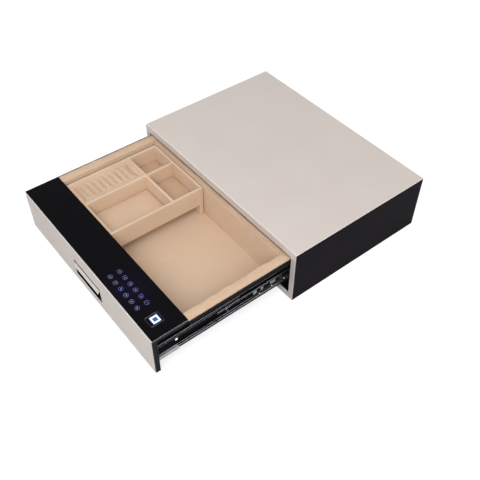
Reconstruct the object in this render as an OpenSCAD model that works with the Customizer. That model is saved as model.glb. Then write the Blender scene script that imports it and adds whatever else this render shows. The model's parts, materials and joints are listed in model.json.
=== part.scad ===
// Low drawer safe for a wardrobe: a steel case, a padded drawer on ball slides
// that carries a keypad and a fingerprint sensor on its front strip, and a
// loose jewellery tray that slides from side to side in the drawer.
// The drawer is drawn fully open. X runs across, +Y to the back, +Z up, and
// the origin is the centre of the underside of the case.

/* [Case] */
// Width of the case
case_w = 560; // [500:1:620]
// Depth of the case
case_d = 388; // [350:1:440]
// Height of the case
case_h = 144; // [130:1:180]
// Thickness of the folded steel shell
shell_t = 2; // [1.5:0.1:3]
// Thickness of the top panel
top_t = 1.6; // [1.2:0.1:3]
// Thickness of the front frame
frame_t = 3; // [2:0.5:4]
// Thickness of the frame where it covers the front edges of the case's sides
frame_edge_t = 0.8; // [0.6:0.1:1.5]
// Width of the frame's two stiles
stile_w = 13.5; // [10:0.5:15]
// Height of the frame's top rail
frame_top_h = 18; // [10:0.5:20]
// Height of the frame's bottom rail
frame_bottom_h = 12.5; // [10:0.5:15]
// Depth of the lips folded down from the top panel
top_lip_h = 28; // [26:1:30]
// Length of the flanges folded forward from the back panel
back_flange_d = 30; // [27:1:30]
// Radius of the anchor holes in the base and the back
anchor_r = 5; // [4:0.5:6]
// Distance between the base anchor holes across the case
anchor_dx = 400; // [300:10:420]
// Distance between the base anchor holes from front to back
anchor_dy = 240; // [160:10:260]
// Distance between the two anchor holes in the back
wall_anchor_dx = 300; // [200:10:360]

/* [Drawer] */
// How much less than the case's depth the drawer opens
travel_short = 48; // [48:1:70]
// Gap between the drawer's front and the frame's stiles
front_gap = 5; // [4:0.1:7.5]
// Gap below the drawer's front
front_low_gap = 4; // [3:0.1:9]
// Gap above the drawer's rim and its control strip
rim_gap = 3.8; // [3:0.1:6]
// Thickness of the face plate
face_t = 1.5; // [1:0.1:3]
// How far the face plate's ends stay inside the backing's
face_inset = 1; // [0:0.1:3]
// Thickness of the backing behind the face plate
backing_t = 10; // [4:0.5:11]
// Height of the steel box's underside above the frame's bottom rail
box_clear = 14; // [12.5:0.1:15]
// Thickness of the drawer's steel
box_t = 1.2; // [1:0.1:1.5]
// Depth of the lock bay behind the storage space
lock_bay_d = 18; // [17:0.5:20]
// How far the steel flanges under the rim stand out of the box
flange_out = 20.1; // [16:0.1:20.5]
// Height of the lip folded down from each flange
flange_lip_h = 9; // [6:0.5:14]
// Height of the lip turned up from each flange beside its pad
flange_rise = 5; // [2:0.5:5.5]

/* [Lining] */
// Thickness of the lining on the side and back walls
wall_pad_t = 3.5; // [2:0.1:5]
// Thickness of the lining on the front wall
front_pad_t = 2; // [2:0.1:3]
// Thickness of the lining on the floor
floor_pad_t = 1.5; // [1:0.1:1.8]
// Depth of the padded rim along the back
rim_back_w = 11; // [10:0.5:20]
// Thickness of the padded rim
rim_pad_h = 6.7; // [5:0.1:7]
// Gap between a soft piece and what carries it
soft_gap = 0.3; // [0.2:0.05:0.4]

/* [Control strip] */
// Depth of the control strip from the drawer's face
strip_d = 84; // [80:0.5:88]
// How far the control strip stands above the face plate
strip_rise = 2.5; // [0.5:0.1:3]
// Thickness of the black glass
glass_t = 4; // [3:0.5:5]
// Height of the housing under the glass
housing_h = 18; // [14:0.5:22]
// Height of the housing's wings beside the box
wing_h = 7; // [5:0.5:12]
// Wall thickness of the housing
housing_t = 2.5; // [2:0.1:3]
// Outer diameter of a key ring
key_d = 10.4; // [9:0.1:13]
// Line width of a key ring
key_line = 0.7; // [0.6:0.1:1.5]
// Distance between keys along a row
key_pitch = 20.1; // [18:0.1:22]
// Distance between the two rows of keys
key_row_pitch = 22; // [20:0.1:24]
// Number of keys in a row
key_count = 6; // [4:1:6]
// Distance of the first key column from the strip's right end
key_inset = 184.5; // [175:0.5:200]
// Distance of the front key row from the drawer's face
key_y = 22.3; // [20:0.1:26]
// Side of the square sensor pad
sensor_w = 18; // [16:0.1:20]
// Distance of the sensor from the strip's right end
sensor_inset = 40.5; // [32:0.5:46]
// Distance of the sensor from the drawer's face
sensor_y = 35; // [30:0.1:38]
// Width of the frame around the sensor
sensor_frame_w = 26; // [24:0.1:28]
// Depth of the frame around the sensor
sensor_frame_d = 30.6; // [26:0.1:34]

/* [Pull] */
// Width of the finger recess
pull_w = 105; // [80:1:140]
// Position of the finger recess across the drawer
pull_x = 6; // [-120:1:120]
// Height of the finger recess
pull_h = 41.5; // [30:0.5:44]
// Distance of the recess below the housing of the control strip
pull_drop = 21.2; // [12:0.1:28]
// Depth of the recess behind the face
pull_depth = 22; // [14:1:26]
// How far the pull lip stands out of the face
pull_reach = 4.2; // [3:0.1:6]
// Height of the pull lip
pull_lip_h = 11.5; // [9:0.5:14]
// Gap between the pull lip and the recess above it and beside it
pull_lip_gap = 1.5; // [0.5:0.1:2.5]

/* [Slides] */
// Height of the drawer member of a slide
rail_h = 45; // [45:0.5:46]
// Height of the middle member
middle_h = 31; // [31:0.5:32]
// Height of the case member
case_rail_h = 20; // [19.5:0.5:20]
// Distance of the slides below the housing of the control strip
rail_drop = 12.7; // [8:0.1:14]
// Gap between the drawer's side and the slide bracket
slide_gap = 13; // [13:0.1:13.4]
// Depth of the slide brackets
bracket_d = 20.5; // [19:0.5:24]
// Length of the drawer member
drawer_rail_l = 200; // [190:1:210]
// Distance of the slides' rear ends from the back of the case
slide_end_gap = 39; // [39:1:60]
// Diameter of the balls between the drawer and middle members
outer_ball_d = 5; // [4.6:0.1:5]
// Diameter of the balls between the middle and case members
inner_ball_d = 4; // [3.6:0.1:4]
// How much of the drawer's travel the middle members make
middle_ratio = 0.58; // [0.56:0.01:0.6]

/* [Lock] */
// Diameter of the bolt
bolt_d = 10; // [8:0.5:11]
// Travel of the bolt
bolt_travel = 18; // [16:0.5:18]
// Length of the bolt
bolt_l = 54; // [50:1:60]
// How far the dropped bolt reaches below the strike's edge
bolt_catch = 4; // [3:0.5:5]
// How far the drawer comes out before the bolt stops it
peek_travel = 80; // [76:1:90]

/* [Tray] */
// Width of the tray
tray_w = 199; // [180:1:215]
// Gap between the tray and the lining at its left
tray_side_gap = 9.8; // [8.5:0.1:20]
// Distance of the tray's upper edge below the rim
tray_drop = 7.2; // [7:0.1:14]
// Height of the tray without its legs
tray_h = 51; // [44:0.5:56]
// Thickness of the tray's walls
tray_wall = 6; // [5:0.5:8]
// Thickness of the tray's two legs
leg_t = 10; // [8:0.5:14]
// Gap between the tray and the lining in front of it
tray_front_gap = 0.8; // [0.5:0.1:3]
// Gap between the tray and the lining behind it
tray_back_gap = 2.6; // [1:0.1:6]
// Thickness of the tray's floor board
tray_floor_t = 8; // [5:0.5:9]
// Thickness of the pads in the tray
tray_pad_t = 4; // [3:0.5:6]
// Distance from the tray's left side to the long divider
divider_x = 77; // [70:1:90]
// Distance from the tray's back to the cross divider
divider_y = 82.5; // [60:0.5:95]
// Thickness of the dividers
divider_t = 6.5; // [5:0.5:8]
// Number of rolls in the ring cushion
roll_count = 9; // [7:1:10]
// Height of the ring cushion's crown below the tray's edge
roll_drop = 1; // [1:0.5:6]

/* [Hidden] */
$fn = 48;

// Colours
steel_black = "#23212a";
champagne = "#cdc7c3";
zinc = "#b9bcc2";
suede = "#cfae92";
plastic_black = "#18171b";
board_green = "#1e5a3c";

// Places along the depth
case_front = -case_d / 2;
case_back = case_d / 2;
open_travel = case_d - travel_short;
face_y = case_front - open_travel;
backing_y = face_y + face_t;
box_front = backing_y + backing_t;
strip_back = face_y + strip_d;
bay_wall_y = case_front - box_t - 1.1;
box_back = bay_wall_y + box_t + lock_bay_d + box_t;
front_lining_y = strip_back + front_pad_t;
back_lining_y = bay_wall_y - wall_pad_t;

// Places across the width and up the height
inner_w = case_w - 2 * shell_t;
bracket_x = inner_w / 2 - bracket_d;
box_half = bracket_x - slide_gap;
box_in = box_half - box_t;
flange_half = box_half + flange_out;
front_w = case_w - 2 * (stile_w + front_gap);
rim_z = case_h - frame_top_h - rim_gap;
front_bottom_z = frame_bottom_h + front_low_gap;
box_bottom_z = frame_bottom_h + box_clear;
lining_in = box_in - wall_pad_t;
floor_z = box_bottom_z + box_t;
lining_z = floor_z + floor_pad_t;
pad_z = rim_z - rim_pad_h;
flange_z = pad_z - soft_gap;
pad_steps = 16;
pad_tuck = 1.4;
glass_z = rim_z - glass_t;
housing_z = glass_z - housing_h;
small_gap = 0.3;
fit_gap = 0.1;
rim_pad_w = flange_half - box_t - small_gap - lining_in;
face_top_z = rim_z - strip_rise;
corner_r = 1.5;

// Slide sections: how far each member stands off the drawer's side
outer_rail_t = 1.5;
middle_t = 1.2;
case_rail_t = 1.3;
retainer_t = 0.8;
outer_depth = 9.5;
middle_off = 4;
middle_depth = 8.4;
outer_lip = 4.8;
middle_lip = 3.4;
outer_retainer_off = 2.7;
outer_retainer_depth = 4.5;
inner_retainer_off = 5.8;
inner_retainer_depth = 4.9;
case_rail_depth = 6.1;
outer_ball_off = 5.2;
inner_ball_off = 8.2;
ball_play = 0.15;
outer_race = (rail_h / 2 - outer_rail_t + middle_h / 2) / 2;
inner_race = (middle_h / 2 - middle_t + case_rail_h / 2) / 2;
drawer_rail_y = box_front + 3.5;
rail_set_back = 12.5;
case_rail_y = case_front + rail_set_back;
case_rail_l = case_d - rail_set_back - slide_end_gap;
middle_rail_l = case_rail_l;
rail_z = housing_z - rail_drop - rail_h / 2;
middle_rail_y = case_rail_y - middle_ratio * open_travel;
overlap_y = drawer_rail_y + drawer_rail_l;
outer_retainer_l = 54;
outer_retainer_y = overlap_y - outer_retainer_l - 5;
inner_retainer_l = 200;
inner_retainer_y = case_rail_y - middle_ratio * open_travel / 2;
outer_ball_pitch = 20;
inner_ball_pitch = 34;
window_first = 8;
window_short = 12;
window_tab = 6;
window_long = 20;
window_pitch = 52;
window_half = 8.5;
outer_window_end = 6;
outer_window_half = 10;
bracket_t = 1.5;
bracket_h = 40;
bracket_foot = 10;
rail_stop_l = 7;
rail_stop_w = 9;
rail_stop_half = 8;
rail_stop_y = middle_rail_y + middle_ratio * open_travel + middle_rail_l + small_gap;
bracket_l = rail_stop_y + rail_stop_l - case_rail_y;
rail_screw_r = 3;
rail_screw_h = 0.8;
rail_screw_drop = 4;
rail_screw_y = [47, 172];
rail_access_r = rail_screw_r + 3.5;
rail_access_rise = 5;
rail_hole_in = 40;
clip_l = 50;
clip_h = 8;
clip_front_drop = 12;
clip_t = 1.2;

// Case fixings
rivet_r = 3.2;
rivet_h = 1;
rivet_inset = 24;
rivet_front_inset = 72;
rivet_high_z = case_h - rivet_inset;
rivet_low_z = 20;
rivet_front_y = case_front + rivet_front_inset;
rivet_back_y = case_back - rivet_inset;
wall_anchor_z = case_h / 2;

// Pull
pull_cup_t = 1.4;
pull_lip_t = 1.6;
pull_shelf_t = 2.6;
pull_corner_r = 0.8;
pull_high_z = housing_z - pull_drop;
pull_low_z = pull_high_z - pull_h;
pull_back = face_y + pull_depth + pull_cup_t;

// Lock
bolt_y = case_front + frame_t + bolt_d / 2 + 1;
bolt_z = box_bottom_z + 1.5;
bolt_gap = 0.08;
lock_w = 70;
lock_low_z = floor_z + 12.3;
lock_high_z = flange_z - box_t - 14;
bolt_end_play = 8;
motor_r = 6.5;
motor_x = 22;
motor_up = 8;
motor_l = 34;
motor_shaft_r = 2;
motor_shaft_l = 8;
strike_t = 2.5;
strike_w = 44;
strike_foot = 26;
strike_h = bolt_z - bolt_travel + bolt_catch - shell_t;
strike_screw_x = 13;
strike_screw_y = 15;
strike_y = bolt_y + open_travel - peek_travel - bolt_d / 2 - small_gap;
screw_r = 2.5;
screw_head_h = 1.8;

// Electronics in the front block
cell_r = 7.1;
cell_l = 50.5;
battery_inset = 171.5;
battery_x = front_w / 2 - battery_inset;
battery_z = floor_z + 16.3;
battery_wall = 1.5;
battery_w = 2 * cell_l + 2 * battery_wall + 4;
battery_h = 4 * cell_r + 2 * battery_wall + 1.2;
battery_d = 2 * cell_r + battery_wall + 0.6;
battery_cover_t = 1.6;
battery_cover_rim = 3;
battery_mouth_y = front_lining_y - small_gap - battery_cover_t;
board_t = 1.6;
board_w = 130;
board_d = 48;
board_x = -90;
board_y = pull_back + 3;
board_z = floor_z + 7;
board_in = 12;
chip_w = 14;
chip_h = 2;
plug_w = 14;
plug_d = 10;
plug_h = 6;
buzzer_r = 6;
buzzer_h = 9;
post_r = 3;
post_in = 6;
key_x = front_w / 2 - key_inset;
sensor_x = front_w / 2 - sensor_inset;
keypad_x0 = key_x - 14;
keypad_x1 = sensor_x + 20;
cable_r = 1.6;
cable_x = -27;
cable_bend = 6;
cable_z = box_bottom_z - cable_r - small_gap;
clip_count = 3;
cable_hole_r = cable_r + 1.8;
cable_bow = 1.4;
cable_front_y = board_y + 8;
cable_back_y = bolt_y - 2;

// Tray
tray_front_y = front_lining_y + tray_front_gap;
tray_back_y = back_lining_y - tray_back_gap;
tray_foot_gap = 0.3;
tray_x = tray_side_gap - lining_in;
tray_top_z = rim_z - tray_drop;
tray_bottom_z = tray_top_z - tray_h;
tray_right_x = tray_x + tray_w;
long_x = tray_x + divider_x;
cross_y = tray_back_y - divider_y;
tray_deck_z = tray_bottom_z + tray_floor_t;
roll_x0 = tray_x + tray_wall + small_gap;
roll_x1 = long_x - small_gap;
roll_y0 = tray_front_y + tray_wall + small_gap;
roll_y1 = cross_y - small_gap;
roll_end = 8;
roll_pitch = (roll_y1 - roll_y0 - 2 * roll_end) / roll_count;
roll_r = roll_pitch / 2 - 0.2;
roll_top_z = tray_top_z - roll_drop;

// A block between two opposite corners
module block(low, high) {
  translate(low) cube([for (i = [0:2]) high[i] - low[i]]);
}

// A section drawn in X and Z, pulled along Y
module along_y(from, to) {
  translate([0, to, 0]) rotate([90, 0, 0]) linear_extrude(to - from) children();
}

// The right-hand shape as drawn, or mirrored for the left
module on_side(side) {
  mirror([side < 0 ? 1 : 0, 0, 0]) children();
}

// A rounded rectangle, centred
module round_rect(w, d, r) {
  translate([r - w / 2, -d / 2]) square([w - 2 * r, d]);
  translate([-w / 2, r - d / 2]) square([w, d - 2 * r]);
  for (x = [-1, 1], y = [-1, 1]) translate([x * (w / 2 - r), y * (d / 2 - r)]) circle(r);
}

// A channel section: web on the left, flanges to the right, and the flanges'
// ends turned in by a lip, or out by a foot where the lip is negative
module channel(depth, height, t, lip) {
  half = height / 2;
  end = lip == 0 ? [[depth, half], [depth, half - t]]
    : lip > 0 ? [[depth, half], [depth, half - t - lip], [depth - t, half - t - lip], [depth - t, half - t]]
    : [[depth - t, half], [depth - t, half - t - lip], [depth, half - t - lip], [depth, half - t]];
  upper = concat([[0, half]], end, [[t, half - t]]);
  polygon(concat(upper, [for (i = [len(upper) - 1:-1:0]) [upper[i][0], -upper[i][1]]]));
}

// A slide section placed at its distance from the drawer's side
module slide_section(off) {
  translate([box_half + off, rail_z]) children();
}

// A screw head with its shank, pointing along -X from its seat
module screw_x(r, head, shank) {
  rotate([0, 90, 0]) cylinder(r = r, h = head);
  rotate([0, -90, 0]) cylinder(r = r * 0.45, h = shank);
}

// Case

module case_shell() {
  color(steel_black) difference() {
    union() {
      block([-case_w / 2, case_front + frame_t, 0], [case_w / 2, case_back, shell_t]);
      for (side = [-1, 1]) on_side(side)
        block([inner_w / 2, case_front + frame_edge_t, 0], [case_w / 2, case_back, case_h - top_t]);
    }
    for (x = [-1, 1], y = [-1, 1])
      translate([x * anchor_dx / 2, y * anchor_dy / 2, -1]) cylinder(r = anchor_r, h = shell_t + 2);
    rivet_holes();
  }
}

module rivet_places() {
  for (side = [-1, 1]) on_side(side)
    for (spot = [[rivet_front_y, rivet_high_z], [rivet_back_y, rivet_high_z], [rivet_back_y, rivet_low_z]])
      translate([case_w / 2, spot[0], spot[1]]) children();
}

module rivet_holes() {
  rivet_places() rotate([0, -90, 0]) translate([0, 0, -1]) cylinder(r = rivet_r / 2 + fit_gap, h = shell_t + 6);
}

module case_rivets() {
  color(steel_black) rivet_places() {
    rotate([0, 90, 0]) cylinder(r = rivet_r, h = rivet_h);
    rotate([0, -90, 0]) cylinder(r = rivet_r / 2, h = shell_t + 2);
  }
}

module back_panel() {
  color(steel_black) difference() {
    union() {
      block([-inner_w / 2, case_back - shell_t, shell_t], [inner_w / 2, case_back, case_h - top_t]);
      for (side = [-1, 1]) on_side(side)
        block([inner_w / 2 - 1.5, case_back - back_flange_d, shell_t], [inner_w / 2, case_back, case_h - top_t]);
    }
    for (x = [-1, 1])
      translate([x * wall_anchor_dx / 2, case_back + 1, wall_anchor_z])
        rotate([90, 0, 0]) cylinder(r = anchor_r, h = shell_t + 2);
    rivet_holes();
  }
}

module top_panel() {
  color(champagne) difference() {
    union() {
      block([-case_w / 2, case_front + frame_t, case_h - top_t], [case_w / 2, case_back, case_h]);
      for (side = [-1, 1]) on_side(side)
        block([inner_w / 2 - 1.5, case_front + frame_t, case_h - top_t - top_lip_h],
              [inner_w / 2, case_back - back_flange_d - small_gap, case_h]);
    }
    rivet_holes();
  }
}

// The frame is cut back where the case's sides run forward behind its edges
module front_frame() {
  open_half = case_w / 2 - stile_w;
  color(champagne) difference() {
    along_y(case_front, case_front + frame_t) translate([0, case_h / 2]) round_rect(case_w, case_h, corner_r);
    block([-open_half, case_front - 1, frame_bottom_h], [open_half, case_front + frame_t + 1, case_h - frame_top_h]);
    for (side = [-1, 1]) on_side(side)
      block([inner_w / 2, case_front + frame_edge_t, -1], [case_w / 2 + 1, case_front + frame_t + 1, case_h - top_t]);
  }
}

module slide_bracket() {
  depth = inner_w / 2 - bracket_x;
  along_y(case_rail_y, case_rail_y + bracket_l) translate([bracket_x, rail_z])
    channel(depth, bracket_h, bracket_t, -bracket_foot);
}

module slide_bracket_left() { color(steel_black) on_side(-1) slide_bracket(); }
module slide_bracket_right() { color(steel_black) on_side(1) slide_bracket(); }

module case_rail() {
  along_y(case_rail_y, case_rail_y + case_rail_l) slide_section(slide_gap)
    mirror([1, 0]) channel(case_rail_depth, case_rail_h, case_rail_t, 0);
}

module case_rail_left() { color(steel_black) on_side(-1) case_rail(); }
module case_rail_right() { color(steel_black) on_side(1) case_rail(); }

module case_rail_screws() {
  color(zinc) for (side = [-1, 1]) on_side(side)
    for (y = [rail_hole_in, case_rail_l / 2, case_rail_l - rail_hole_in])
      translate([bracket_x - case_rail_t, case_rail_y + y, rail_z])
        rotate([0, -90, 0]) cylinder(r = screw_r, h = screw_head_h);
}

module rail_stops() {
  color(plastic_black) for (side = [-1, 1]) on_side(side)
    block([bracket_x - rail_stop_w, rail_stop_y, rail_z - rail_stop_half],
          [bracket_x, rail_stop_y + rail_stop_l, rail_z + rail_stop_half]);
}

module lock_strike() {
  color(zinc) difference() {
    union() {
      block([-strike_w / 2, strike_y - strike_foot, shell_t], [strike_w / 2, strike_y, shell_t + strike_t]);
      block([-strike_w / 2, strike_y - strike_t, shell_t], [strike_w / 2, strike_y, shell_t + strike_h]);
    }
    strike_screw_places() translate([0, 0, -1]) cylinder(r = screw_r, h = strike_t + 2);
  }
}

module strike_screw_places() {
  for (x = [-1, 1]) translate([x * strike_screw_x, strike_y - strike_screw_y, shell_t]) children();
}

module strike_screws() {
  color(zinc) strike_screw_places() {
    cylinder(r = screw_r - fit_gap, h = strike_t);
    translate([0, 0, strike_t]) cylinder(r = screw_r * 1.8, h = screw_head_h);
  }
}

// Slides

module middle_rail() {
  difference() {
    along_y(middle_rail_y, middle_rail_y + middle_rail_l) slide_section(middle_off)
      channel(middle_depth, middle_h, middle_t, middle_lip);
    translate([box_half + middle_off - 1, drawer_rail_y + rail_screw_y[1], rail_z - rail_screw_drop])
      hull() for (up = [0, rail_access_rise])
        translate([0, 0, up]) rotate([0, 90, 0]) cylinder(r = rail_access_r, h = middle_t + 2);
  }
}

module middle_rail_left() { color(steel_black) on_side(-1) middle_rail(); }
module middle_rail_right() { color(steel_black) on_side(1) middle_rail(); }

// Ball places along a retainer, on its upper and its lower race
module ball_places(start, length, pitch, off, race) {
  count = floor((length - 10) / pitch) + 1;
  first = (length - (count - 1) * pitch) / 2;
  for (i = [0:count - 1], m = [-1, 1])
    translate([box_half + off, start + first + i * pitch, rail_z + m * race]) children();
}

module outer_ball_places() {
  ball_places(outer_retainer_y, outer_retainer_l, outer_ball_pitch, outer_ball_off, outer_race) children();
}

module inner_ball_places() {
  ball_places(inner_retainer_y, inner_retainer_l, inner_ball_pitch, inner_ball_off, inner_race) children();
}

module outer_retainer() {
  difference() {
    along_y(outer_retainer_y, outer_retainer_y + outer_retainer_l) slide_section(outer_retainer_off)
      channel(outer_retainer_depth, 2 * outer_race + retainer_t, retainer_t, 0);
    outer_ball_places() cylinder(r = outer_ball_d / 2 + ball_play, h = 6, center = true);
    block([box_half, outer_retainer_y + outer_window_end, rail_z - outer_window_half],
          [box_half + outer_depth, outer_retainer_y + outer_retainer_l - outer_window_end, rail_z + outer_window_half]);
  }
}

module inner_retainer() {
  difference() {
    along_y(inner_retainer_y, inner_retainer_y + inner_retainer_l) slide_section(inner_retainer_off)
      channel(inner_retainer_depth, 2 * inner_race + retainer_t, retainer_t, 0);
    inner_ball_places() cylinder(r = inner_ball_d / 2 + ball_play, h = 6, center = true);
    for (i = [0:floor((inner_retainer_l - window_first) / window_pitch) - 1]) {
      first = inner_retainer_y + window_first + i * window_pitch;
      window(first, window_short);
      window(first + window_short + window_tab, window_long);
    }
  }
}

// A window through the inner retainer's web
module window(y, length) {
  block([box_half, y, rail_z - window_half], [box_half + outer_depth, y + length, rail_z + window_half]);
}

module outer_retainer_left() { color(zinc) on_side(-1) outer_retainer(); }
module outer_retainer_right() { color(zinc) on_side(1) outer_retainer(); }
module inner_retainer_left() { color(zinc) on_side(-1) inner_retainer(); }
module inner_retainer_right() { color(zinc) on_side(1) inner_retainer(); }

module outer_balls() { outer_ball_places() sphere(d = outer_ball_d, $fn = 24); }
module inner_balls() { inner_ball_places() sphere(d = inner_ball_d, $fn = 24); }

module outer_balls_left() { color(zinc) on_side(-1) outer_balls(); }
module outer_balls_right() { color(zinc) on_side(1) outer_balls(); }
module inner_balls_left() { color(zinc) on_side(-1) inner_balls(); }
module inner_balls_right() { color(zinc) on_side(1) inner_balls(); }

module drawer_rail() {
  difference() {
    along_y(drawer_rail_y, drawer_rail_y + drawer_rail_l) slide_section(0)
      channel(outer_depth, rail_h, outer_rail_t, outer_lip);
    rail_screw_places() translate([-1, 0, 0]) rotate([0, 90, 0])
      cylinder(r = rail_screw_r * 0.45 + fit_gap, h = outer_rail_t + 2);
  }
}

module rail_screw_places() {
  for (y = rail_screw_y) translate([box_half, drawer_rail_y + y, rail_z - rail_screw_drop]) children();
}

module drawer_rail_left() { color(steel_black) on_side(-1) drawer_rail(); }
module drawer_rail_right() { color(steel_black) on_side(1) drawer_rail(); }

module drawer_rail_screws() {
  color("white") for (side = [-1, 1]) on_side(side)
    rail_screw_places() translate([outer_rail_t, 0, 0]) screw_x(rail_screw_r, rail_screw_h, outer_rail_t + box_t);
}

// Folded zinc clips that hold the front of each slide's lower flange between
// two legs on the backing
module rail_clips() {
  low = rail_z - rail_h / 2;
  inside = box_half + outer_rail_t + small_gap;
  flange_end = box_half + outer_depth;
  outside = flange_end + small_gap;
  shelf = low + outer_rail_t + fit_gap;
  color(zinc) for (side = [-1, 1]) on_side(side) {
    block([outside, box_front, low - 1.5], [outside + clip_t, box_front + clip_l, low - 1.5 + clip_h]);
    block([inside, box_front, shelf], [flange_end - outer_rail_t - small_gap, box_front + clip_l, shelf + clip_t]);
    block([inside, box_front, low - clip_front_drop], [outside + clip_t, box_front + clip_t, low - 1.5 + clip_h]);
  }
}

// Drawer

module drawer_box() {
  color(steel_black) difference() {
    union() {
      block([-box_half, box_front, box_bottom_z], [box_half, box_back - box_t, floor_z]);
      for (side = [-1, 1]) on_side(side) {
        block([box_in, box_front, box_bottom_z], [box_half, strip_back, housing_z]);
        block([box_in, strip_back, box_bottom_z], [box_half, box_back - box_t, flange_z]);
        block([box_in - 22, box_back - 2 * box_t, box_bottom_z], [box_in, box_back - box_t, flange_z]);
        block([box_in, strip_back, flange_z - box_t], [flange_half, box_back - box_t, flange_z]);
        block([flange_half - box_t, strip_back, flange_z - flange_lip_h],
              [flange_half, box_back - box_t, flange_z + flange_rise]);
      }
      block([-box_half, box_front, box_bottom_z], [box_half, box_front + box_t, housing_z]);
      block([-box_half, strip_back - box_t, box_bottom_z], [box_half, strip_back, housing_z]);
      block([-box_half, bay_wall_y, box_bottom_z], [box_half, bay_wall_y + box_t, flange_z]);
      block([-box_half, bay_wall_y, flange_z - box_t], [box_half, box_back - box_t, flange_z]);
      for (i = [0:clip_count - 1])
        translate([cable_x, cable_front_y + (i + 0.5) * (cable_back_y - cable_front_y) / clip_count, 0])
          block([-4, -3, cable_z - cable_r - 1.2], [4, 3, box_bottom_z]);
    }
    translate([cable_x, cable_back_y - cable_bend, cable_z]) rotate([90, 0, 0])
      cylinder(r = cable_r + small_gap, h = cable_back_y - cable_front_y - 2 * cable_bend);
    rear_screw_places() translate([0, 1, 0]) rotate([90, 0, 0]) cylinder(r = screw_r * 0.6, h = 2 * box_t + 2);
    battery_window(1);
    translate([0, bolt_y, box_bottom_z - 1]) cylinder(d = bolt_d + 0.6, h = box_t + 2);
    for (y = [cable_front_y + cable_bow, cable_back_y - cable_bow])
      translate([cable_x, y, box_bottom_z - 1]) cylinder(r = cable_hole_r, h = box_t + 2);
    for (side = [-1, 1]) on_side(side)
      rail_screw_places() rotate([0, -90, 0]) cylinder(r = rail_screw_r * 0.45 + fit_gap, h = box_t + 1);
    translate([pull_x, 0, 0]) pull_clearance();
  }
}

// Room for the pull cup in the steel behind the backing
module pull_clearance() {
  half = pull_w / 2 + pull_cup_t + small_gap;
  block([-half, box_front - 1, pull_low_z - pull_cup_t - small_gap],
        [half, pull_back + small_gap, pull_high_z + pull_cup_t + small_gap]);
}

module battery_window(grow) {
  block([battery_x - grow, strip_back - box_t - 1, battery_z - grow],
        [battery_x + battery_w + grow, front_lining_y + 1, battery_z + battery_h + grow]);
}

module rear_cover() {
  color(steel_black) difference() {
    block([-box_half, box_back - box_t, box_bottom_z], [box_half, box_back, flange_z]);
    rear_screw_places() translate([0, -1, 0]) rotate([-90, 0, 0]) cylinder(r = screw_r * 0.6, h = box_t + 2);
  }
}

module rear_screw_places() {
  for (x = [-1, 1], z = [box_bottom_z + 12, flange_z - 12])
    translate([x * (box_half - 14), box_back - box_t, z]) children();
}

module rear_cover_screws() {
  color(zinc) rear_screw_places() {
    translate([0, -box_t, 0]) rotate([-90, 0, 0]) cylinder(r = screw_r * 0.6 - fit_gap, h = 2 * box_t);
    translate([0, box_t, 0]) rotate([-90, 0, 0]) cylinder(r = screw_r, h = screw_head_h);
  }
}

module front_outline(top_z, inset) {
  translate([0, (front_bottom_z + top_z) / 2])
    round_rect(front_w - 2 * inset, top_z - front_bottom_z, corner_r);
}

module pull_opening(extra) {
  translate([pull_x, (pull_low_z + pull_high_z) / 2])
    round_rect(pull_w + 2 * extra, pull_high_z - pull_low_z + 2 * extra, pull_corner_r);
}

module face_plate() {
  color(champagne) along_y(face_y, backing_y) difference() {
    front_outline(face_top_z, face_inset);
    pull_opening(pull_cup_t + fit_gap);
  }
}

module face_backing() {
  color(plastic_black) along_y(backing_y, box_front) difference() {
    front_outline(glass_z, 0);
    pull_opening(pull_cup_t + fit_gap);
  }
}

// The cup's rim lies flush in the face plate
module pull_cup() {
  deep = face_y + pull_depth;
  color(plastic_black) difference() {
    along_y(face_y, pull_back) pull_opening(pull_cup_t);
    along_y(face_y - 1, deep) pull_opening(0);
  }
}

// Sloping pull lip: flush with the face above, standing out of it below, on a
// shelf that runs back to the cup
module pull_lip() {
  top = pull_high_z - pull_lip_gap;
  half = pull_w / 2 - pull_lip_gap;
  color(champagne) translate([pull_x + half, 0, 0]) rotate([0, -90, 0]) linear_extrude(2 * half)
    polygon([
      [top, face_y], [top - pull_lip_h, face_y - pull_reach],
      [top - pull_lip_h, face_y - pull_reach + pull_lip_t], [top - pull_shelf_t, face_y + pull_lip_t],
      [top - pull_shelf_t, face_y + pull_depth], [top, face_y + pull_depth]
    ]);
}

// Control strip

module keypad_housing() {
  half = front_w / 2 - 0.5;
  color(plastic_black) {
    difference() {
      union() {
        block([-box_half, box_front, housing_z], [box_half, strip_back, glass_z]);
        block([-half, box_front, glass_z - wing_h], [half, strip_back, glass_z]);
      }
      block([housing_t - box_half, box_front + housing_t, housing_z + housing_t],
            [box_half - housing_t, strip_back - housing_t, glass_z + 1]);
    }
    for (x = [keypad_x0 + post_in, keypad_x1 - post_in], y = [box_front + board_in, strip_back - board_in])
      translate([x, y, housing_z + housing_t - 0.5]) cylinder(r = post_r, h = housing_h - housing_t - board_t + 0.2);
  }
}

module keypad_board() {
  top = glass_z - small_gap;
  color(board_green) {
    block([keypad_x0, box_front + 4, top - board_t], [keypad_x1, strip_back - 6, top]);
    translate([keypad_x0 + 2 * board_in, strip_back - 2 * board_in, top - board_t - plug_h]) cube([plug_w, plug_d, plug_h]);
  }
}

module control_glass() {
  color("#0d0c10") difference() {
    block([-front_w / 2, backing_y, glass_z], [front_w / 2, strip_back, rim_z]);
    translate([sensor_x, face_y + sensor_y, glass_z - 1]) linear_extrude(glass_t + 2)
      round_rect(sensor_w + 0.4, sensor_w + 0.4, 2.2);
    key_places() key_ring(0.05);
    sensor_ring(0.05);
  }
}

module key_places() {
  for (i = [0:key_count - 1], j = [0, 1])
    translate([key_x + i * key_pitch, face_y + key_y + j * key_row_pitch, rim_z - 0.4]) children();
}

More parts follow.
